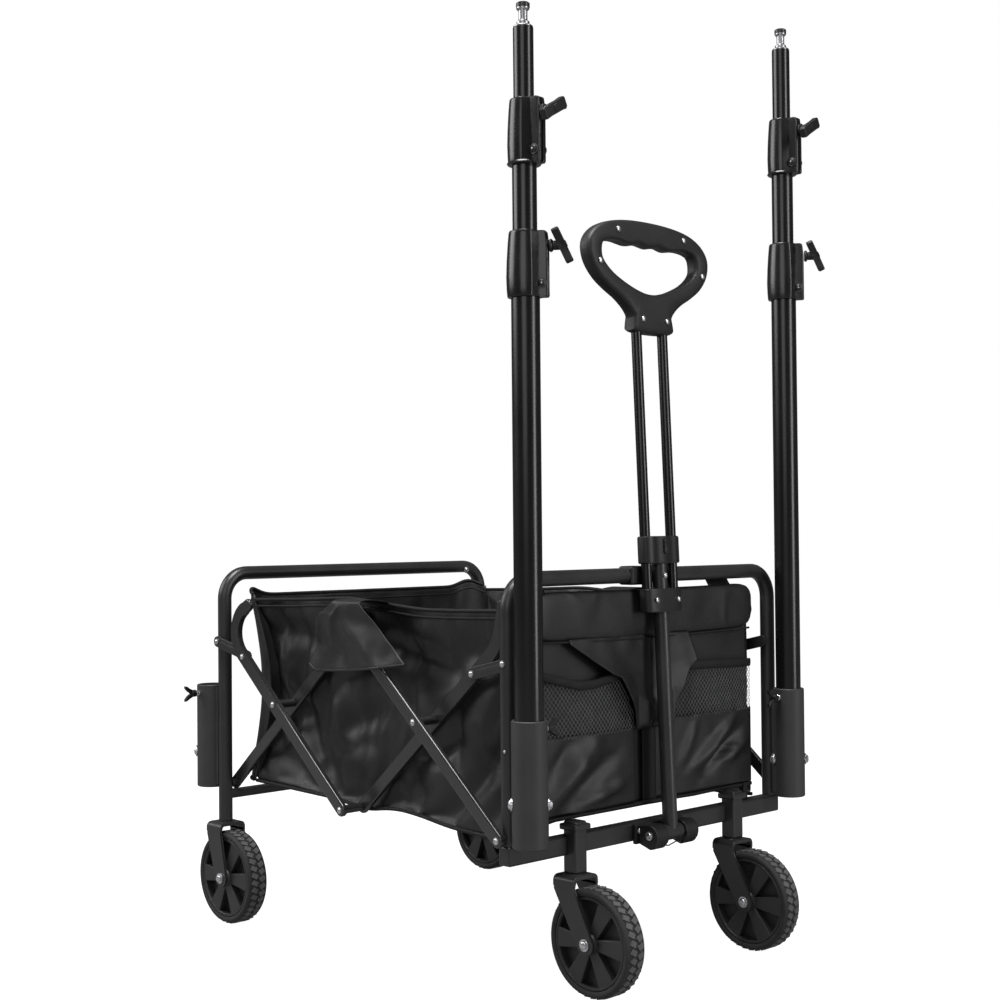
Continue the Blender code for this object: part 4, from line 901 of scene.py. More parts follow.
def makeLink(word, side, end, endWord):
    name = word + "_" + endWord + "_link"
    leg, far = (endY[end], linkZ), linkFar(end)
    low, high = link["levels"][end]
    b = bmesh.new()
    addPrism(b, ribbon([leg, far], link["width"] / 2), alongX, side * low, side * high, link["edge"], 2)
    keep(name + "_strip", b, "paint", name, [name])
    b = bmesh.new()
    share = [(leg[0] + (far[0] - leg[0]) * s, leg[1] + (far[1] - leg[1]) * s) for s in link["ribEnds"]]
    face = high if end > 0 else high - link["ribSink"]
    rib = ribbon(share, link["rib"] / 2)
    sunk, proud = side * (face - link["ribIn"]), side * (face + link["ribOut"])
    addPrism(b, rib, alongX, sunk, proud, link["ribEdge"], 2)
    keep(name + "_rib", b, "paint", name)
    spot = (side * (high + link["headOut"]), *(far if end < 0 else leg))
    heads(name + "_rivets", "rivet", name, [(spot, (side, 0, 0), bar["rivet"])])


for side, word in sides:
    for end, endWord in ends:
        makeBar(word, side, end, endWord, "rising")
        makeBar(word, side, end, endWord, "falling")
        makeLink(word, side, end, endWord)
print("scissor bars and links")


# Pull handle, shaped upright at its hinge and leaned with its slide's axis
handle = {"lean": math.atan2(*joints["handle_extend"]["axis"][1:]), "stem": 0.010, "stemFoot": 0.004,
          "stemTop": 0.361, "knuckle": 0.0102, "knuckleWide": 0.035, "rod": 0.007, "rodSpread": 0.026,
          "snap": 0.0030, "snapRise": 0.336, "headOut": 0.0002}
sleeve = {"foot": 0.352, "tall": 0.036, "half": 0.035, "deep": 0.013, "waist": 0.16}
rodBlock = {"foot": 0.288, "tall": 0.031, "half": 0.035, "deep": 0.013, "waist": 0.0, "rodIn": 0.004,
            "screw": 0.0036, "screwSpread": 0.0215, "screwRise": 0.016}
lockButton = {"low": (-0.004, -0.0155, 0.365), "high": (0.004, -0.0085, 0.384), "edge": 0.0012,
              "ribs": (0.3695, 0.3745, 0.3795), "ribHalf": 0.0009, "ribWide": 0.0032,
              "ribDeep": (-0.0160, -0.0150), "ribEdge": 0.0003}
grip = {"foot": 0.658, "tall": 0.1485, "half": 0.1215, "neck": 0.0355, "depth": 0.023, "bar": 0.0315,
        "limb": 0.0274, "rays": 144, "section": 20, "square": 3.2, "rodIn": 0.02, "screw": 0.0040,
        "screws": ((0.066, 0.1315), (0.103, 0.086), (0.024, 0.017))}
# The grip's outer and inner edges as shares of its half width or opening and of its height
gripOuter = ((0.36, 0.19), (0.50, 0.28), (0.68, 0.36), (0.84, 0.45), (0.96, 0.57), (1.0, 0.70),
             (0.96, 0.80), (0.84, 0.89), (0.62, 0.96), (0.25, 1.0))
gripInner = ((0.12, 0.357), (0.43, 0.405), (0.75, 0.49), (0.95, 0.585), (1.0, 0.66))
hinge = pivot("handle_pivot")
leaned = Matrix.Translation(hinge) @ Matrix.Rotation(-handle["lean"], 4, "X")
handleFront = leaned.to_3x3() @ Vector((0, -1, 0))


def onHandle(x, y, z):
    return leaned @ Vector((x, y, z))


def clampRings(spec):
    # Three barrels side by side, drawn in between the rods and the stem.
    outline, spread = [], handle["rodSpread"]
    for c, s in circle(1, 72):
        x = spec["half"] * squared(c, 0.62)
        dip = 1 - spec["waist"] * math.sin(math.pi * abs(x) / spread) ** 2 * (abs(x) < spread)
        outline.append((x, spec["deep"] * dip * squared(s, 0.62)))
    rings = []
    for share, grow in ((0, 0.95), (0.05, 1.0), (0.95, 1.0), (1.0, 0.95)):
        z = spec["foot"] + share * spec["tall"]
        rings.append([onHandle(x * grow, y * grow, z) for x, y in outline])
    return rings


def gripOutlines():
    half, tall = grip["half"], grip["tall"]
    outer = [(grip["neck"], 0), (grip["neck"], 0.10 * tall)] + [(x * half, z * tall) for x, z in gripOuter]
    inside, roof, groove = half - grip["limb"], tall - grip["bar"], 0.018 * tall
    inner = [(x * inside, z * tall) for x, z in gripInner]
    inner += [(0.96 * inside, roof - 0.03 * tall), (0.78 * inside, roof), (0.60 * inside, roof)]
    inner += [(0.40 * inside, roof - groove), (0.20 * inside, roof), (0, roof - groove)]
    loops = []
    for points in (outer, inner):
        loops.append(smoothLoop(points + [(-x, z) for x, z in reversed(points) if x], 12))
    return loops


def rayHit(loop, centre, way):
    # Where a ray from the centre leaves a closed outline.
    best, small = 0.0, 1e-9
    for p, q in zip(loop, loop[1:] + loop[:1]):
        edge, start = q - p, p - centre
        bottom = way.x * edge.y - way.y * edge.x
        if abs(bottom) < 1e-12:
            continue
        reach = (start.x * edge.y - start.y * edge.x) / bottom
        share = (start.x * way.y - start.y * way.x) / bottom
        if reach > best and -small <= share <= 1 + small:
            best = reach
    return centre + way * best


def makeGrip():
    outer, inner = gripOutlines()
    centre, power = Vector((0, 0.62 * grip["tall"])), 2 / grip["square"]
    b = bmesh.new()
    rings = []
    for step in range(grip["rays"]):
        turn = 2 * math.pi * (step + 0.5) / grip["rays"]
        way = Vector((math.cos(turn), math.sin(turn)))
        far, near = rayHit(outer, centre, way), rayHit(inner, centre, way)
        middle, half = (far + near) / 2, (far - near) / 2
        rounded = max(power, power * min(1.0, 0.016 / half.length))
        ring = []
        for c, s in circle(1, grip["section"]):
            flat = middle + half * squared(c, rounded * min(1, 0.014 / half.length))
            ring.append(onHandle(flat.x, grip["depth"] / 2 * squared(s, rounded), flat.y + grip["foot"]))
        rings.append(ring)
    addRings(b, rings, looped=True)
    keep("handle_grip_loop", b, "gripPlastic", "handle_slide", ["handle_grip"], 60)
    front = -grip["depth"] / 2 - handle["headOut"]
    spots = [(onHandle(side * x, front, z + grip["foot"]), handleFront, grip["screw"])
             for x, z in grip["screws"] for side in (-1, 1)]
    heads("handle_grip_screws", "screw", "handle_slide", spots)


def makeHandle():
    b = bmesh.new()
    stemLow, stemHigh = onHandle(0, 0, handle["stemFoot"]), onHandle(0, 0, handle["stemTop"])
    addPin(b, stemLow, stemHigh, handle["stem"], 0.0008, 40)
    wide = Vector((handle["knuckleWide"] / 2, 0, 0))
    addPin(b, hinge - wide, hinge + wide, handle["knuckle"], 0.0012, 40)
    keep("handle_stem_tube", b, "paint", "handle", ["handle_stem"])
    clamps = ((sleeve, "handle_sleeve", "handle"), (rodBlock, "handle_rod_block", "handle_slide"))
    for spec, node, body in clamps:
        b = bmesh.new()
        addRings(b, clampRings(spec))
        keep(node + "_moulded", b, "plastic", body, [node], 50)
    for side, word in sides:
        x = side * handle["rodSpread"]
        b = bmesh.new()
        foot, top = rodBlock["foot"] + rodBlock["rodIn"], grip["foot"] + grip["rodIn"]
        addPin(b, onHandle(x, 0, foot), onHandle(x, 0, top), handle["rod"], 0.0006, 36)
        keep("handle_rod_" + word + "_drawn", b, "anodised", "handle_slide", ["handle_rod_" + word])
    front, rise = -rodBlock["deep"] - handle["headOut"], rodBlock["foot"] + rodBlock["screwRise"]
    spots = [(onHandle(side * rodBlock["screwSpread"], front, rise), handleFront, rodBlock["screw"])
             for side in (-1, 1)]
    heads("handle_block_screws", "screw", "handle_slide", spots)
    snap = onHandle(0, -handle["stem"] - handle["headOut"], handle["snapRise"])
    heads("handle_stem_snap", "rivet", "handle", [(snap, handleFront, handle["snap"])])
    b = bmesh.new()
    addBlock(b, lockButton["low"], lockButton["high"], lockButton["edge"], 3, leaned)
    wide, half, (near, far) = lockButton["ribWide"], lockButton["ribHalf"], lockButton["ribDeep"]
    for level in lockButton["ribs"]:
        ribLow, ribHigh = (-wide, near, level - half), (wide, far, level + half)
        addBlock(b, ribLow, ribHigh, lockButton["ribEdge"], 1, leaned)
    keep("handle_lock_button_pressed", b, "darkBolt", "lock_button", ["handle_lock_button"])
    makeGrip()


bracket = {"half": 0.048, "plate": 0.006, "edge": 0.0018, "lobe": 0.013, "lobeEdge": 0.0014,
           "hang": 0.0055, "knuckle": 0.018, "lobeIn": 0.006, "pin": 0.0046, "pinIn": 0.0056,
           "bolt": 0.0036, "boltIn": 0.0075, "boltRise": 0.004, "spring": 0.0009, "springAhead": 0.003,
           "bends": ((-0.022, 0.0135), (-0.008, 0.0165), (0.008, 0.0130), (0.022, 0.0160))}
hoopClip = {"near": 0.0165, "far": 0.046, "wall": 0.0024, "edge": 0.0035}


def makeBracket():
    face, body = frontY - tubeHalf - leastGap, "front_frame"
    half, lobe, plate = bracket["half"], bracket["lobe"], bracket["plate"]
    b = bmesh.new()
    addBlock(b, (-half, face - plate, baseZ - lobe), (half, face, baseZ + lobe), bracket["edge"])
    turns = [math.pi / 2 + math.pi * step / 16 for step in range(17)]
    tall = [lobe if t < math.pi else lobe + bracket["hang"] for t in turns]
    outline = [(hinge.y + lobe * math.cos(t), baseZ + size * math.sin(t)) for t, size in zip(turns, tall)]
    outline += [(face - 0.003, baseZ - lobe + 0.0015), (face - 0.003, baseZ + lobe - 0.0015)]
    for side in (-1, 1):
        near, far = side * bracket["knuckle"], side * (half - bracket["lobeIn"])
        addPrism(b, outline, alongX, near, far, bracket["lobeEdge"], 3)
    keep("handle_bracket_moulded", b, "plastic", body, ["handle_bracket"])
    b = bmesh.new()
    path = [(x, hinge.y - bracket["springAhead"], baseZ - z) for x, z in bracket["bends"]]
    addSweep(b, path, circle(bracket["spring"], 8), (0, 1, 0))
    keep("handle_bracket_spring", b, "darkBolt", body)
    spots = []
    for side in (-1, 1):
        spots.append(((side * (half - bracket["pinIn"]), hinge.y, baseZ), (side, 0, 0), bracket["pin"]))
        bolt = (side * (half - bracket["boltIn"]), face - plate - leastGap, baseZ + bracket["boltRise"])
        spots.append((bolt, (0, -1, 0), bracket["bolt"]))
    heads("handle_bracket_bolts", "rivet", body, spots)
    b = bmesh.new()
    grow = tubeHalf + hoopClip["wall"]
    for side in (-1, 1):
        low, high = sorted((side * hoopClip["near"], side * hoopClip["far"]))
        clipHigh = (high, frontY + grow, hoopZ + grow)
        addBlock(b, (low, frontY - grow, hoopZ - grow), clipHigh, hoopClip["edge"])
    keep("handle_hoop_clips", b, "plastic", body)


makeHandle()
makeBracket()
print("pull handle")


# Cloth
basket = {"half": 0.2355, "back": 0.3265, "front": frontY + 0.0125, "floor": 0.2135, "drawn": 0.010,
          "corner": 0.035, "waist": 0.041, "acrossSteps": 118, "alongSteps": 76, "thick": 0.0014,
          "frames": 26, "weight": 0.35, "heldRim": 0.006, "heldFloor": 0.002, "inward": 0.017,
          "driftY": 0.008, "driftDown": 0.010, "driftUp": 0.008, "dent": 0.0075, "ridge": 0.0045,
          "foldRun": 0.383}
clothSettings = {"quality": 7, "mass": 0.25, "tension_stiffness": 22, "compression_stiffness": 22,
                 "shear_stiffness": 8, "bending_stiffness": 0.9, "vertex_group_mass": "held",
                 "shrink_min": -0.035}
# Heights of the sides' top and bottom edges along Y, as the slack cloth hangs
topLine = ((-0.27, 0.478), (-0.16, 0.475), (-0.09, 0.474), (0.0, 0.481), (0.066, 0.486), (0.18, 0.481),
           (0.33, 0.477))
footLine = ((-0.27, 0.197), (-0.217, 0.193), (-0.143, 0.196), (-0.074, 0.205), (-0.028, 0.207),
            (0.03, 0.198), (0.10, 0.206), (0.33, 0.211))
# Hollows in the sides: from and to (y, z), width and depth
sideFolds = (((0.010, 0.428), (-0.150, 0.398), 0.020, 0.022),
             ((0.270, 0.452), (0.130, 0.425), 0.020, 0.018),
             ((0.090, 0.300), (-0.020, 0.345), 0.020, 0.016),
             ((-0.070, 0.270), (-0.170, 0.320), 0.020, 0.018),
             ((0.270, 0.285), (0.170, 0.310), 0.020, 0.016),
             ((-0.140, 0.440), (-0.240, 0.400), 0.022, 0.016))


def lineAt(line, y):
    # Height of an edge line, with its corners rounded.
    ys, zs = zip(*line)
    return float(sum(np.interp(y + 0.01 * k, ys, zs) for k in range(-2, 3)) / 5)


def cornerRadius(share):
    # Plan radius of the rear corners, widest halfway up.
    return basket["corner"] + basket["waist"] * math.sin(math.pi * clamp(share)) ** 1.2


def rearEdge(share):
    return basket["back"] - cornerRadius(share)


def crease(point, start, end, width, depth):
    # A soft ridge along a line, faded at both ends.
    a, c, p = Vector(start), Vector(end), Vector(point)
    run = c - a
    share = (p - a).dot(run) / run.length_squared
    near = a + run * clamp(share)
    fade = math.sin(math.pi * clamp(share, 0.02, 0.98)) ** 0.5
    return depth * fade * math.exp(-((p - near).length / width) ** 2)


def ripple(a, c, scale, seed):
    return noise.noise(Vector((a * scale, c * scale, seed)))


def wrinkle(a, c, scale, seed):
    # Soft ridges that wander along the zero lines of a noise.
    return max(0.0, 1 - 4.5 * abs(ripple(a + 0.5 * c, 0.7 * c - 0.3 * a, scale, seed))) ** 1.5


def clothMesh(name, uSteps, vSteps, shape, size):
    mesh = bpy.data.meshes.new(name)
    spots = [(i / uSteps, j / vSteps) for j in range(vSteps + 1) for i in range(uSteps + 1)]
    row = uSteps + 1
    faces = [(j * row + i, j * row + i + 1, (j + 1) * row + i + 1, (j + 1) * row + i)
             for j in range(vSteps) for i in range(uSteps)]
    mesh.from_pydata([shape(u, v) for u, v in spots], [], faces)
    uv = mesh.uv_layers.new(name="cut")
    for loop in mesh.loops:
        u, v = spots[loop.vertex_index]
        uv.data[loop.index].uv = (u * size[0], v * size[1])
    mesh.shade_smooth()
    return mesh


def bake(piece, thick=0.0):
    # Turns the modifiers into mesh, so that later moves act on the finished shape.
    if thick:
        thicken(piece, thick)
    piece.data = plainMesh(piece)
    return piece


def thicken(piece, thick):
    wall = piece.modifiers.new("wall", "SOLIDIFY")
    wall.thickness, wall.offset = thick, 0.0


def simulate(piece, held):
    # Lets the slack cloth buckle between the edges that hold it, then keeps the result.
    group = piece.vertex_groups.new(name="held")
    for index in held:
        group.add([index], 1.0, "REPLACE")
    scene = bpy.context.scene
    cloth = piece.modifiers.new("cloth", "CLOTH")
    for label, value in clothSettings.items():
        setattr(cloth.settings, label, value)
    cloth.settings.effector_weights.gravity = basket["weight"]
    cloth.point_cache.frame_start, cloth.point_cache.frame_end = 1, basket["frames"]
    for step in range(1, basket["frames"] + 1):
        scene.frame_set(step)
    bake(piece)
    scene.frame_set(1)


def makeTub():
    half, wall = basket["half"], lineAt(topLine, midY) - basket["floor"]
    total = 2 * wall + 2 * half

    def shape(u, v):
        run = u * total
        side = -1 if run < wall else 1 if run > total - wall else 0
        share = {-1: 1 - run / wall, 0: 0.0, 1: (run - total + wall) / wall}[side]
        y = basket["front"] + v * (rearEdge(share) - basket["front"])
        foot = lineAt(footLine, y)
        if not side:
            x = run - wall - half
            return Vector((x, y, foot + (basket["floor"] - foot) * (1 - abs(x / half) ** 4)))
        drawn = math.sin(math.pi * share) ** 0.7
        x = half - basket["drawn"] * drawn * (1 + 0.5 * ripple(y, 0.27 * share, 16, 3.1 * side))
        return Vector((side * x, y, foot + (lineAt(topLine, y) - foot) * share))

    name, across = "fabric_tub_cloth", basket["acrossSteps"]
    mesh = clothMesh(name, across, basket["alongSteps"], shape, (total, rearY - frontY))
    piece = linkMesh(name, mesh, "cloth")
    runs = [vert.index % (across + 1) / across * total for vert in mesh.vertices]
    held = []
    for index, run in enumerate(runs):
        onFloor = wall - basket["heldFloor"] < run < total - wall + basket["heldFloor"]
        atEnd = index // (across + 1) in (0, basket["alongSteps"])
        if onFloor or min(run, total - run) < basket["heldRim"] or atEnd:
            held.append(index)
    before = [vert.co.copy() for vert in mesh.vertices]
    simulate(piece, held)
    for vert, old in zip(piece.data.vertices, before):
        side = math.copysign(1, old.x)
        vert.co.x = side * clamp(abs(vert.co.x), abs(old.x) - basket["inward"], half)
        vert.co.y = old.y + clamp(vert.co.y - old.y, -basket["driftY"], basket["driftY"])
        vert.co.z = old.z + clamp(vert.co.z - old.z, -basket["driftDown"], basket["driftUp"])
    for vert, run in zip(piece.data.vertices, runs):
        share = max(wall - run, run - total + wall, 0) / wall
        side, fade = math.copysign(1, vert.co.x), math.sin(math.pi * share) ** 0.6
        spot = (vert.co.y, vert.co.z)
        crumple = basket["dent"] * wrinkle(*spot, 8, 5.0 + side)
        crumple -= basket["ridge"] * wrinkle(*spot, 15, 9.0 + side)
        crumple += sum(crease(spot, *line) for line in sideFolds)
        vert.co.x -= side * fade * max(crumple, abs(vert.co.x) - half)
    piece.data.shade_smooth()
    thicken(piece, basket["thick"])
    fine = piece.modifiers.new("fine", "SUBSURF")
    fine.levels = fine.render_levels = 1
    settle(piece, "cloth", "front_frame", ["fabric_tub"])
    return bake(piece), (total, rearEdge(1.0) - basket["front"])


def foldWith(piece):
    near = pivot("fold").y
    share = (rearEdge(1.0) - basket["foldRun"] - near) / (rearEdge(1.0) - near)
    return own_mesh(piece)


def pipe(name, path, radius, finish):
    b = bmesh.new()
    level = abs(path[0][2] - path[-1][2]) < 0.1
    addSweep(b, path, circle(radius, 10), (0, 0.02, 1) if level else (0, 1, 0.02))
    return linkMesh(name, closedMesh(name, b), finish)


def piping(name, path, radius, body="front_frame"):
    return settle(pipe(name, path, radius, "webbing"), "webbing", body)


# Piping of the sides: the edge it follows, its drop below that edge and its radius
sidePiping = {"top": (topLine, 0.0, 0.0026), "seam": (topLine, 0.0095, 0.0018),
              "bottom": (footLine, 0.0, 0.0026)}


def makeSideTrim(side, word):
    trims = []
    for name, (line, drop, radius) in sidePiping.items():
        ys = np.linspace(basket["front"], rearEdge(0.0) - 0.002, 60)
        path = [(side * basket["half"], y, lineAt(line, y) - drop) for y in ys]
        trims.append(piping(word + "_side_piping_" + name, path, radius))
        foldWith(trims[-1])
    return trims


# The flap over a top pivot: u runs from its rear edge to its front one, v over the side's edge and down
flap = {"top": 0.4825, "crown": 0.004, "hem": 0.385, "hemRise": 0.020, "hemCorner": 0.008, "rear": 0.005,
        "rearFlare": 0.103, "rearBow": 0.014, "front": 0.052, "frontFlare": 0.077, "out": 0.2885,
        "in": 0.2495, "edge": 0.272, "over": 0.24, "wide": 0.250, "overRun": 0.056, "thick": 0.0012,
        "ripple": 0.0014,
        "folds": (((0.30, 0.1), (0.22, 1.0), 0.06, 0.0045), ((0.42, 0.2), (0.46, 1.0), 0.08, -0.0040)),
        "piping": 0.0019, "blend": 0.055, "uSteps": 60, "vSteps": 44, "lap": 0.0015, "cornerRun": 0.05,
        "barClear": 0.016, "easeIn": 0.03, "easeDrop": 0.05, "easeOut": 0.05}


def makeFlap(side, word):
    slope, out, lap = (midY - frontY) / (apexZ - pivotZ), flap["out"], flap["lap"]

    def shape(u, v):
        over = min(v / flap["over"], 1.0)
        drop = max((v - flap["over"]) / (1 - flap["over"]), 0.0)
        rear = midY + flap["rear"] + flap["rearFlare"] * drop ** 0.9
        rear += flap["rearBow"] * math.sin(math.pi * drop)
        front = midY - flap["front"] - flap["frontFlare"] * drop
        y = rear + (front - rear) * u
        corner = flap["hemCorner"] * math.exp(-(u / flap["cornerRun"]) ** 2)
        hem = flap["hem"] + flap["hemRise"] * u ** 1.6 + corner
        z = flap["top"] + (hem - flap["top"]) * drop + flap["crown"] * math.sin(math.pi * over)
        # The cloth is stretched like a tent from the outer bar to the inner one.
        below = max(apexZ - z, 0) * slope
        inner = clamp((y - midY + below) / (2 * below + flap["easeIn"])) * min(below / flap["easeDrop"], 1)
        outer = clamp((midY - below - flap["barClear"] - y) / flap["easeOut"])
        x = out - (out - flap["in"]) * inner - (out - flap["edge"]) * outer * drop
        x = basket["half"] + lap + (x - basket["half"] - lap) * math.sin(over * math.pi / 2)
        fold = sum(crease((u, drop), *ridge) for ridge in flap["folds"])
        x += fold + flap["ripple"] * ripple(y, z, 45, 2.0 + side)
        return Vector((side * x, y, z))

    wide, tall = flap["wide"], (flap["top"] - flap["hem"]) + flap["overRun"]
    name, steps = word + "_pivot_flap", flap["uSteps"]
    mesh = clothMesh(name, steps, flap["vSteps"], shape, (wide, tall))
    piece = bake(linkMesh(name, mesh, "cloth"), flap["thick"])
    hem = [shape(i / steps, 1.0) for i in range(steps + 1)]
    trim = pipe(name + "_hem", hem, flap["piping"], "cloth")
    start, end = ((side * out, midY + way * flap["blend"], apexZ) for way in (-1, 1))
    for cover in (piece, trim):
        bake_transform(cover)
        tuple(start)
        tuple(end)


tub, tubFlat = makeTub()
trims = [trim for side, word in sides for trim in makeSideTrim(side, word)]
foldWith(tub)
for side, word in sides:
    makeFlap(side, word)
print("tub, piping and flaps")

# Front and rear panels with the rolled band, pockets and nets
panel = {"half": 0.2175, "floor": 0.2165, "bandFoot": 0.4350, "bandTop": 0.4985, "seamHalf": 0.0135,
         "thick": 0.0013, "underBand": 0.012, "backSet": 0.0052, "backWave": 0.0016, "drawn": 0.012,
         "edgeWave": 0.006, "seamSet": 0.0018, "seamBow": 0.0012, "pipingSet": 0.001, "piping": 0.0032}
rearPanel = {"foot": 0.211, "top": 0.4835, "spare": 0.05, "cornerRise": 0.010, "cornerAt": 0.87,
             "cornerRun": 0.09, "wave": 0.004, "ripple": 0.002}
# Piping of the rear panel: the share of its height and the radius
rearPiping = {"top": (1.0, 0.0026), "seam": (0.955, 0.0016), "bottom": (0.0, 0.0030)}
band = {"half": 0.2185, "deep": 0.0058, "fill": 0.35, "sag": 0.0028, "stations": 121, "section": 28,
        "endDeep": 0.0012, "waver": 0.0010, "puff": 0.0016, "wrinkle": 0.0014, "ahead": 0.001,
        "piping": 0.0015, "pipingSpan": 0.955, "pipingAhead": 0.0062, "pipingDrop": 0.0008}
tab = {"reach": {-1: (0.190, 0.215), 1: (0.134, 0.181)}, "lap": 0.008, "rise": 0.006, "behind": 0.0016,
       "start": 0.002, "spare": 0.004}
pocket = {"out": 0.2130, "in": 0.034, "face": frontY - 0.0035, "full": 0.0055, "netFull": 0.0075,
          "footRise": 0.004, "crumple": 0.0022, "topWave": 0.0015, "hemTall": 0.011, "hemIn": 0.004,
          "hemBow": 0.0012, "hemSpare": 0.0005, "flapPuff": 0.015, "flapLift": 0.013, "flapLap": 0.004,
          "flapIn": 0.0006, "flapOut": 0.0008, "flapWave": 0.0018, "flapLow": -0.001, "rodRoom": 0.0075,
          "rodEdge": 0.036, "rodSlope": 0.4}
net = {"cell": 0.0066, "lean": 0.60, "strand": 0.00036, "tall": 0.09, "lap": 0.002, "under": 0.006,
       "out": 0.0006, "wave": 0.0012, "run": 0.075, "slack": 0.25}
# For each side: the pocket's top, its net's top edge (x, z), its inner flap's free edge (z, x), and the
# ridges and hollows of its front: from and to (across, up), width and height
pocketEdges = {
    -1: {"top": 0.3175, "hem": ((0.07, 0.388), (0.117, 0.3805), (0.144, 0.3800), (0.21, 0.396)),
         "flap": ((0.3152, 0.0384), (0.34, 0.0441), (0.3675, 0.0597), (0.3871, 0.0737), (0.3906, 0.0871),
                  (0.4335, 0.160)),
         "folds": (((0.95, 0.05), (0.42, 0.98), 0.11, 0.0130), ((0.78, 0.05), (0.20, 0.75), 0.09, -0.0080),
                   ((0.10, 0.30), (0.62, 0.05), 0.07, 0.0060),
                   ((0.88, 0.55), (0.70, 0.98), 0.06, -0.0060))},
    1: {"top": 0.3245, "hem": ((0.06, 0.3925), (0.21, 0.388)),
        "flap": ((0.3152, 0.0360), (0.3476, 0.0395), (0.3682, 0.0523), (0.3903, 0.0653), (0.40, 0.084),
                 (0.4335, 0.0735)),
        "folds": (((0.22, 0.25), (0.80, 0.97), 0.06, 0.0110), ((0.34, 0.15), (0.88, 0.80), 0.06, -0.0080),
                  ((0.12, 0.35), (0.30, 0.95), 0.05, 0.0070), ((0.60, 0.30), (0.97, 0.62), 0.07, 0.0090))},
}


def clothPiece(name, shape, size, uSteps, vSteps, body="front_frame", nodes=(), finish="cloth"):
    mesh = clothMesh(name, uSteps, vSteps, shape, size)
    area = sum(poly.area for poly in mesh.polygons)
    piece = bake(linkMesh(name, mesh, finish), panel["thick"])
    settle(piece, finish, body, nodes)
    flat = (size[0], max(size[1], area / size[0]))


def makeBand(name):
    # A rolled hem along the top of the front panel, slightly full, rounded at its ends.
    half, foot, top, count = band["half"], panel["bandFoot"], panel["bandTop"], band["section"]
    rings = []
    for k in range(band["stations"]):
        share = math.sin(math.pi / 2 * (2 * k / (band["stations"] - 1) - 1))
        pinch = (1 - min(abs(share), 1.0) ** 18) ** 0.5
        tall = (top - foot) / 2 * (0.30 + 0.70 * pinch)
        deep = band["deep"] * pinch + band["endDeep"]
        x = half * share
        sag = band["waver"] * ripple(x, 0, 9, 3.0) + band["sag"] * share * share
        ring = []
        for step, (c, s) in enumerate(circle(1, count)):
            seed = 7.0 + step // (count // 2)
            dy = deep * squared(c, 0.75) + band["puff"] * ripple(x, 0.03 * s, 22, seed)
            dy -= band["wrinkle"] * wrinkle(x, 0.03 * s, 14, 41.0) * abs(c)
            dz = tall * squared(s, 0.55)
            ring.append(Vector((x, frontY - band["ahead"] + dy, (foot + top) / 2 + dz + sag)))
        rings.append(ring)
    b = bmesh.new()
    addRings(b, rings)
    mesh = closedMesh(name, b)
    uv = mesh.uv_layers.new(name="cut")
    for loop in mesh.loops:
        spot = mesh.vertices[loop.vertex_index].co
        uv.data[loop.index].uv = (spot.x, spot.z)
    piece = settle(linkMesh(name, mesh, "cloth"), "cloth", "front_frame")
    path, span, low = [], half * band["pipingSpan"], foot - band["pipingDrop"]
    for k in range(81):
        share = k / 40 - 1
        path.append((span * share, frontY - band["pipingAhead"], low + band["sag"] * share * share))
    piping(name + "_piping", path, band["piping"])


def makeTab(side, word):
    # A cloth strap that holds the band up behind the hoop.
    low, high = tab["reach"][side]
    foot, top = panel["bandTop"] - tab["lap"], hoopZ + tab["rise"]
    start, behind = tab["start"], tubeHalf + tab["behind"]

    def shape(u, v):
        ease = min(v * 1.6, 1.0)
        y = frontY + start + (behind - start) * ease * ease * (3 - 2 * ease)
        return Vector((side * (low + (high - low) * u), y, foot + (top - foot) * v))

    clothPiece(word + "_band_tab", shape, (high - low, top - foot + tab["spare"]), 10, 16)


def makeFrontPanel():
    half, seamHalf = panel["half"], panel["seamHalf"]
    floor, top = panel["floor"], panel["bandFoot"] + panel["underBand"]

    def back(u, v):
        x, z = half * (2 * u - 1), floor + (top - floor) * v
        y = frontY + panel["backSet"] + panel["backWave"] * ripple(x, z, 14, 1.0)
        waver = panel["edgeWave"] * ripple(z, 0, 30, 2.0) * abs(2 * u - 1)
        x *= 1 - panel["drawn"] * math.sin(math.pi * v) ** 2 + waver
        return Vector((x, y, z))

    def seam(u, v):
        x, z = seamHalf * (2 * u - 1), floor + (top - floor) * v
        bow = panel["seamBow"] * (1 - (2 * u - 1) ** 2)
        return Vector((x, frontY + panel["seamSet"] - bow, z))

    clothPiece("front_panel_back", back, (2 * half, top - floor), 70, 36, nodes=["front_panel"])
    makeBand("front_panel_band")
    inset = panel["pipingSet"]
    path = [(half * (k / 30 - 1), frontY + inset, floor - inset + inset * ripple(k, 0, 0.2, 8.0))
            for k in range(61)]
    piping("front_panel_bottom_piping", path, panel["piping"])
    clothPiece("front_panel_seam_band", seam, (2 * seamHalf, top - floor), 6, 40, finish="webbing")
    for side, word in sides:
        makePocket(side, word)
        makeTab(side, word)


def makeNetTree():
    # Thin round strands on every edge of a lattice.
    tree, out, end = startGeometry("pocketNet", Strand="Float")
    lines = wire(tree, "GeometryNodeMeshToCurve", {"Mesh": out["Geometry"]})
    ring = wire(tree, "GeometryNodeCurvePrimitiveCircle", {"Radius": out["Strand"], "Resolution": 4})
    strands = wire(tree, "GeometryNodeCurveToMesh", {"Curve": lines, "Profile Curve": ring})
    return endGeometry(tree, out, end, strands)


netTree = makeNetTree()


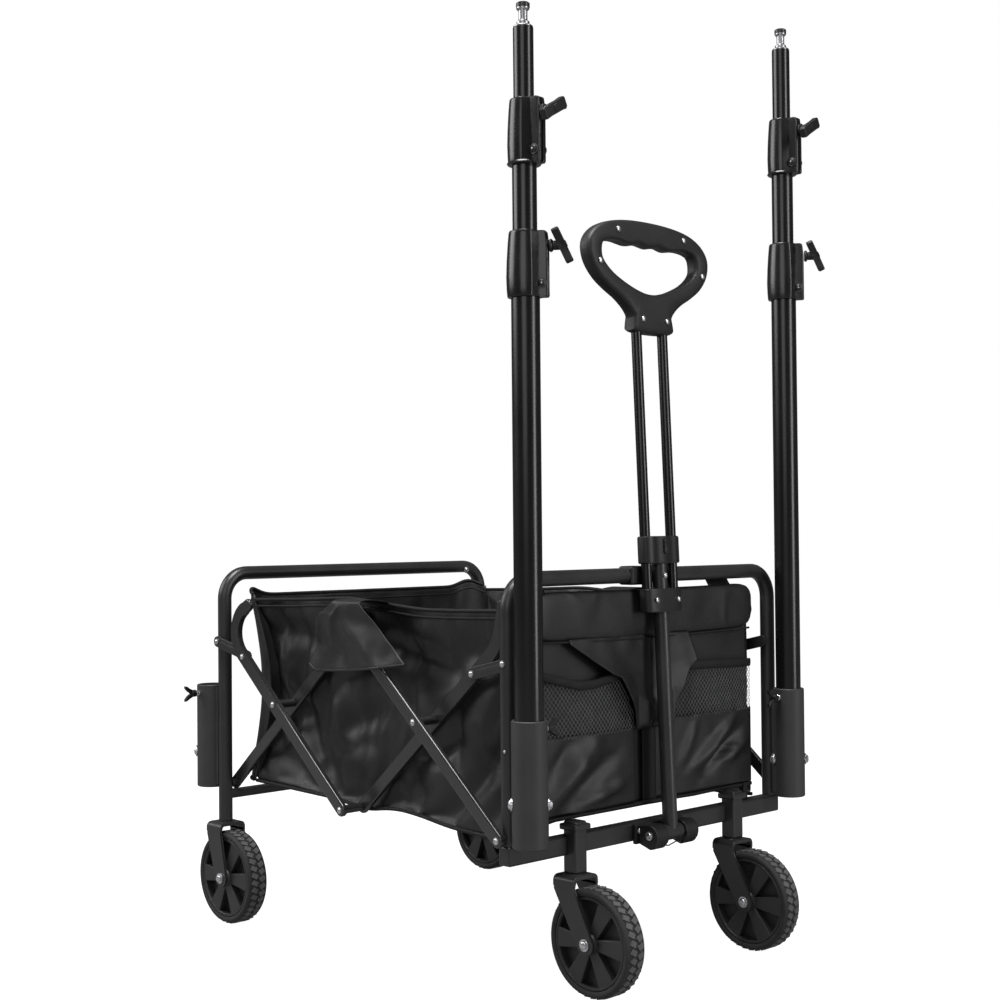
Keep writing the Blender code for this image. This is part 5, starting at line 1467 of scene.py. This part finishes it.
def makePocket(side, word):
    edges, inner, outer, tall = pocketEdges[side], pocket["in"], pocket["out"], pocket["hemTall"]
    floor, face, top = panel["floor"] + pocket["footRise"], pocket["face"], edges["top"]
    hemX, hemZ = zip(*edges["hem"])
    flapZ, flapX = zip(*edges["flap"])
    hemWide = outer - hemX[0] + pocket["hemIn"]

    def swell(share):
        return math.sin(math.pi * clamp(share)) ** 0.6

    def lower(u, v):
        x, z = inner + (outer - inner) * u, floor + (top - floor) * v
        fold = sum(crease((u, v), *ridge) for ridge in edges["folds"])
        fold += pocket["crumple"] * ripple(x, z, 34, 11.0 + side)
        rise = pocket["full"] * swell(u) * (0.35 + 0.65 * v) + fold * swell(u) * swell(0.12 + 0.8 * v)
        return Vector((side * x, face - rise, z + pocket["topWave"] * ripple(x, v, 20, 3.0)))

    def netSpot(x, z):
        share, up = (x - inner) / (outer - inner), (z - top) / net["run"]
        rise = pocket["netFull"] * swell(share) * (1 - net["slack"] * up)
        rise += net["wave"] * ripple(x, z, 60, 6.0 + side)
        return Vector((side * x, face - rise - net["out"], z))

    def hemStrip(u, v):
        x = hemX[0] - pocket["hemIn"] + hemWide * u
        spot = netSpot(x, np.interp(x, hemX, hemZ) + tall * (v - 0.5))
        spot.y -= pocket["hemBow"] * math.sin(math.pi * v)
        return spot

    def inset(u, v):
        # The pocket's inner flap, from the band down, puffed out at its free edge and foot.
        z = flapZ[0] + (panel["bandFoot"] + pocket["flapLap"] - flapZ[0]) * v
        x = pocket["flapIn"] + (np.interp(z, flapZ, flapX) - pocket["flapIn"]) * u
        puff = pocket["flapPuff"] * math.exp(-((v - 0.16) / 0.14) ** 2)
        puff *= math.sin(math.pi * (0.1 + 0.75 * u))
        lift = pocket["flapLift"] * u ** 1.6 * math.sin(math.pi * (0.12 + 0.80 * v))
        lift += puff * min(v / 0.06, 1)
        lift += pocket["flapWave"] * ripple(x, z, 30, 21.0 + side)
        # Clear of the lowered rods
        lift = min(lift, pocket["rodRoom"] + pocket["rodSlope"] * max(x - pocket["rodEdge"], 0))
        return Vector((side * x, face - pocket["flapOut"] - max(lift, pocket["flapLow"]), z))

    clothPiece(word + "_pocket_front", lower, (outer - inner, top - floor), 60, 34)
    cell, lean = net["cell"], net["lean"]
    verts, links, index = [], [], {}
    for row in range(int(net["tall"] / (cell * lean))):
        for column in range(int((outer - inner) / cell) + 2):
            x, z = inner + cell * (column + 0.5 * (row % 2)), top - net["lap"] + cell * lean * row
            if np.interp(z, flapZ, flapX) - net["under"] <= x <= outer and z <= np.interp(x, hemX, hemZ):
                index[row, column] = len(verts)
                verts.append(netSpot(x, z))
    for (row, column), first in index.items():
        for step in (0, 1):
            other = index.get((row + 1, column - 1 + step + row % 2))
            if other is not None:
                links.append((first, other))
    base = bpy.data.meshes.new(word + "_net_lines")
    base.from_pydata(verts, links, [])
    runTree(word + "_pocket_net", netTree, base, {"Strand": net["strand"]}, "net", "front_frame", 60)
    hemSize = (hemWide, tall + pocket["hemSpare"])
    clothPiece(word + "_pocket_hem", hemStrip, hemSize, 48, 6, finish="webbing")
    clothPiece(word + "_pocket_flap", inset, (flapX[-1], panel["bandFoot"] - flapZ[0]), 40, 44)


def makeRearPanel():
    foot, top, half = rearPanel["foot"], rearPanel["top"], basket["half"]

    def back(u, v):
        # Across the back and round both rear corners.
        radius, way = cornerRadius(v), math.copysign(1, u - 0.5)
        flat, reach = half - radius, abs(2 * u - 1)
        run = reach * (flat + radius * math.pi / 2)
        turn = max(run - flat, 0) / radius
        x = min(run, flat) + radius * math.sin(turn)
        y = basket["back"] - radius + radius * math.cos(turn)
        near = (reach - rearPanel["cornerAt"]) / rearPanel["cornerRun"]
        high = top + rearPanel["cornerRise"] * math.exp(-near ** 2)
        wave = rearPanel["wave"] * ripple(x * way, v * 0.27, 9, 31.0)
        wave += rearPanel["ripple"] * ripple(x * way, v * 0.27, 30, 32.0)
        wave *= math.sin(math.pi * u) ** 0.5
        return Vector((way * x, y + wave * math.cos(turn), foot + (high - foot) * v))

    size = (2 * half + rearPanel["spare"], top - foot)
    clothPiece("rear_panel_cloth", back, size, 96, 44, "rear_frame", nodes=["rear_panel"])
    for name, (v, radius) in rearPiping.items():
        path = [back(0.01 + 0.98 * k / 90, v) for k in range(91)]
        piping("rear_panel_piping_" + name, path, radius, "rear_frame")


makeFrontPanel()
makeRearPanel()
print("panels, pockets and nets")

# Webbing loops from the front cross tube up to the basket's corners
tie = {"wide": 0.009, "thick": 0.0014, "edge": 0.0006, "deep": 0.007, "corner": 0.003, "spread": 0.200,
       "gap": 0.0008, "lap": 0.002}


def makeTie(side, word):
    low, high = baseZ + crossTube["rise"] + tie["gap"], panel["floor"] + tie["lap"]
    outline = roundRect(tie["deep"], high - low, tie["corner"], 4)
    path = [(side * tie["spread"], frontY + u, (low + high) / 2 + v) for u, v in outline]
    b = bmesh.new()
    addSweep(b, path, roundRect(tie["thick"], tie["wide"], tie["edge"], 1), (1, 0, 0), looped=True)
    keep(word + "_bottom_tie", b, "webbing", "front_frame")


for side, word in sides:
    makeTie(side, word)
print("ties")


# Camera, floor and light
photoView = {"place": (-1.5926, -1.664, 0.5768), "yaw": 43.614, "pitch": 0.01973, "roll": -0.0087,
             "lens": 56.753, "sensor": 36, "near": 0.05}
# Lamps: name, place, target, size and power
lamps = (
    ("key", (0.9, -3.2, 1.5), (0, 0, 0.6), (0.9, 3.2), 55),
    ("left", (-2.6, 2.6, 2.4), (0, 0, 0.35), (2.6, 2.2), 85),
    ("top", (-0.7, -0.3, 3.2), (0, 0, 0.2), (1.4, 1.4), 110),
    ("fill", (-3.2, -2.2, 1.8), (0, 0, 0.4), (2.0, 2.0), 22),
)
room = {"seen": 1.0, "light": 0.10, "floorTone": 0.22, "floorSeen": 0.98, "floorGlow": 0.10,
        "floorRough": 0.9, "floorHalf": 30, "floorDrop": 0.0006}
white = (1.0, 1.0, 1.0, 1.0)


def makeCamera():
    camera = bpy.data.cameras.new("photoView")
    camera.lens, camera.sensor_width = photoView["lens"], photoView["sensor"]
    camera.clip_start = photoView["near"]
    view = addObject("photoView", camera)
    yaw, pitch, roll = math.radians(photoView["yaw"]), photoView["pitch"], photoView["roll"]
    ahead = Vector((math.sin(yaw) * math.cos(pitch), math.cos(yaw) * math.cos(pitch), math.sin(pitch)))
    right = Vector((math.cos(yaw), -math.sin(yaw), 0))
    up = right.cross(ahead)
    c, s = math.cos(roll), math.sin(roll)
    turned = (right * c + up * s, up * c - right * s, -ahead)
    view.matrix_world = Matrix.Translation(photoView["place"]) @ Matrix(turned).transposed().to_4x4()
    bpy.context.scene.camera = view


def seenStrength(tree, light, seen):
    # One strength for what the camera sees, another for the light it gives.
    rays = wire(tree, "ShaderNodeLightPath")
    return wire(tree, "ShaderNodeMapRange", {"Value": rays, "To Min": light, "To Max": seen})


def makeStage():
    for name, spot, target, size, power in lamps:
        light = bpy.data.lights.new(name, "AREA")
        light.shape, light.energy = "RECTANGLE", power
        light.size, light.size_y = size
        lamp = addObject(name, light)
        lamp.location = spot
        lamp.rotation_euler = (Vector(target) - Vector(spot)).to_track_quat("-Z", "Y").to_euler()
    world, pale = bpy.data.worlds.new("paleRoom"), bpy.data.materials.new("paleFloor")
    world.use_nodes = pale.use_nodes = True
    tree = world.node_tree
    strength = seenStrength(tree, room["light"], room["seen"])
    feed(tree, tree.nodes["Background"], {"Strength": strength, "Color": white})
    bpy.context.scene.world = world
    bpy.context.scene.view_settings.view_transform = "Standard"
    tree = pale.node_tree
    glow = seenStrength(tree, room["floorGlow"], room["floorSeen"])
    feed(tree, tree.nodes["Principled BSDF"], {
        "Base Color": (room["floorTone"],) * 3 + (1.0,), "Roughness": room["floorRough"],
        "Emission Color": white, "Emission Strength": glow,
    })
    reach, low = room["floorHalf"], -room["floorDrop"]
    corners = [(x * reach, y * reach, low) for x, y in ((-1, -1), (1, -1), (1, 1), (-1, 1))]
    ground = bpy.data.meshes.new("floor")
    ground.from_pydata(corners, [], [(0, 1, 2, 3)])
    ground.materials.append(pale)
    addObject("floor", ground)


makeCamera()
makeStage()
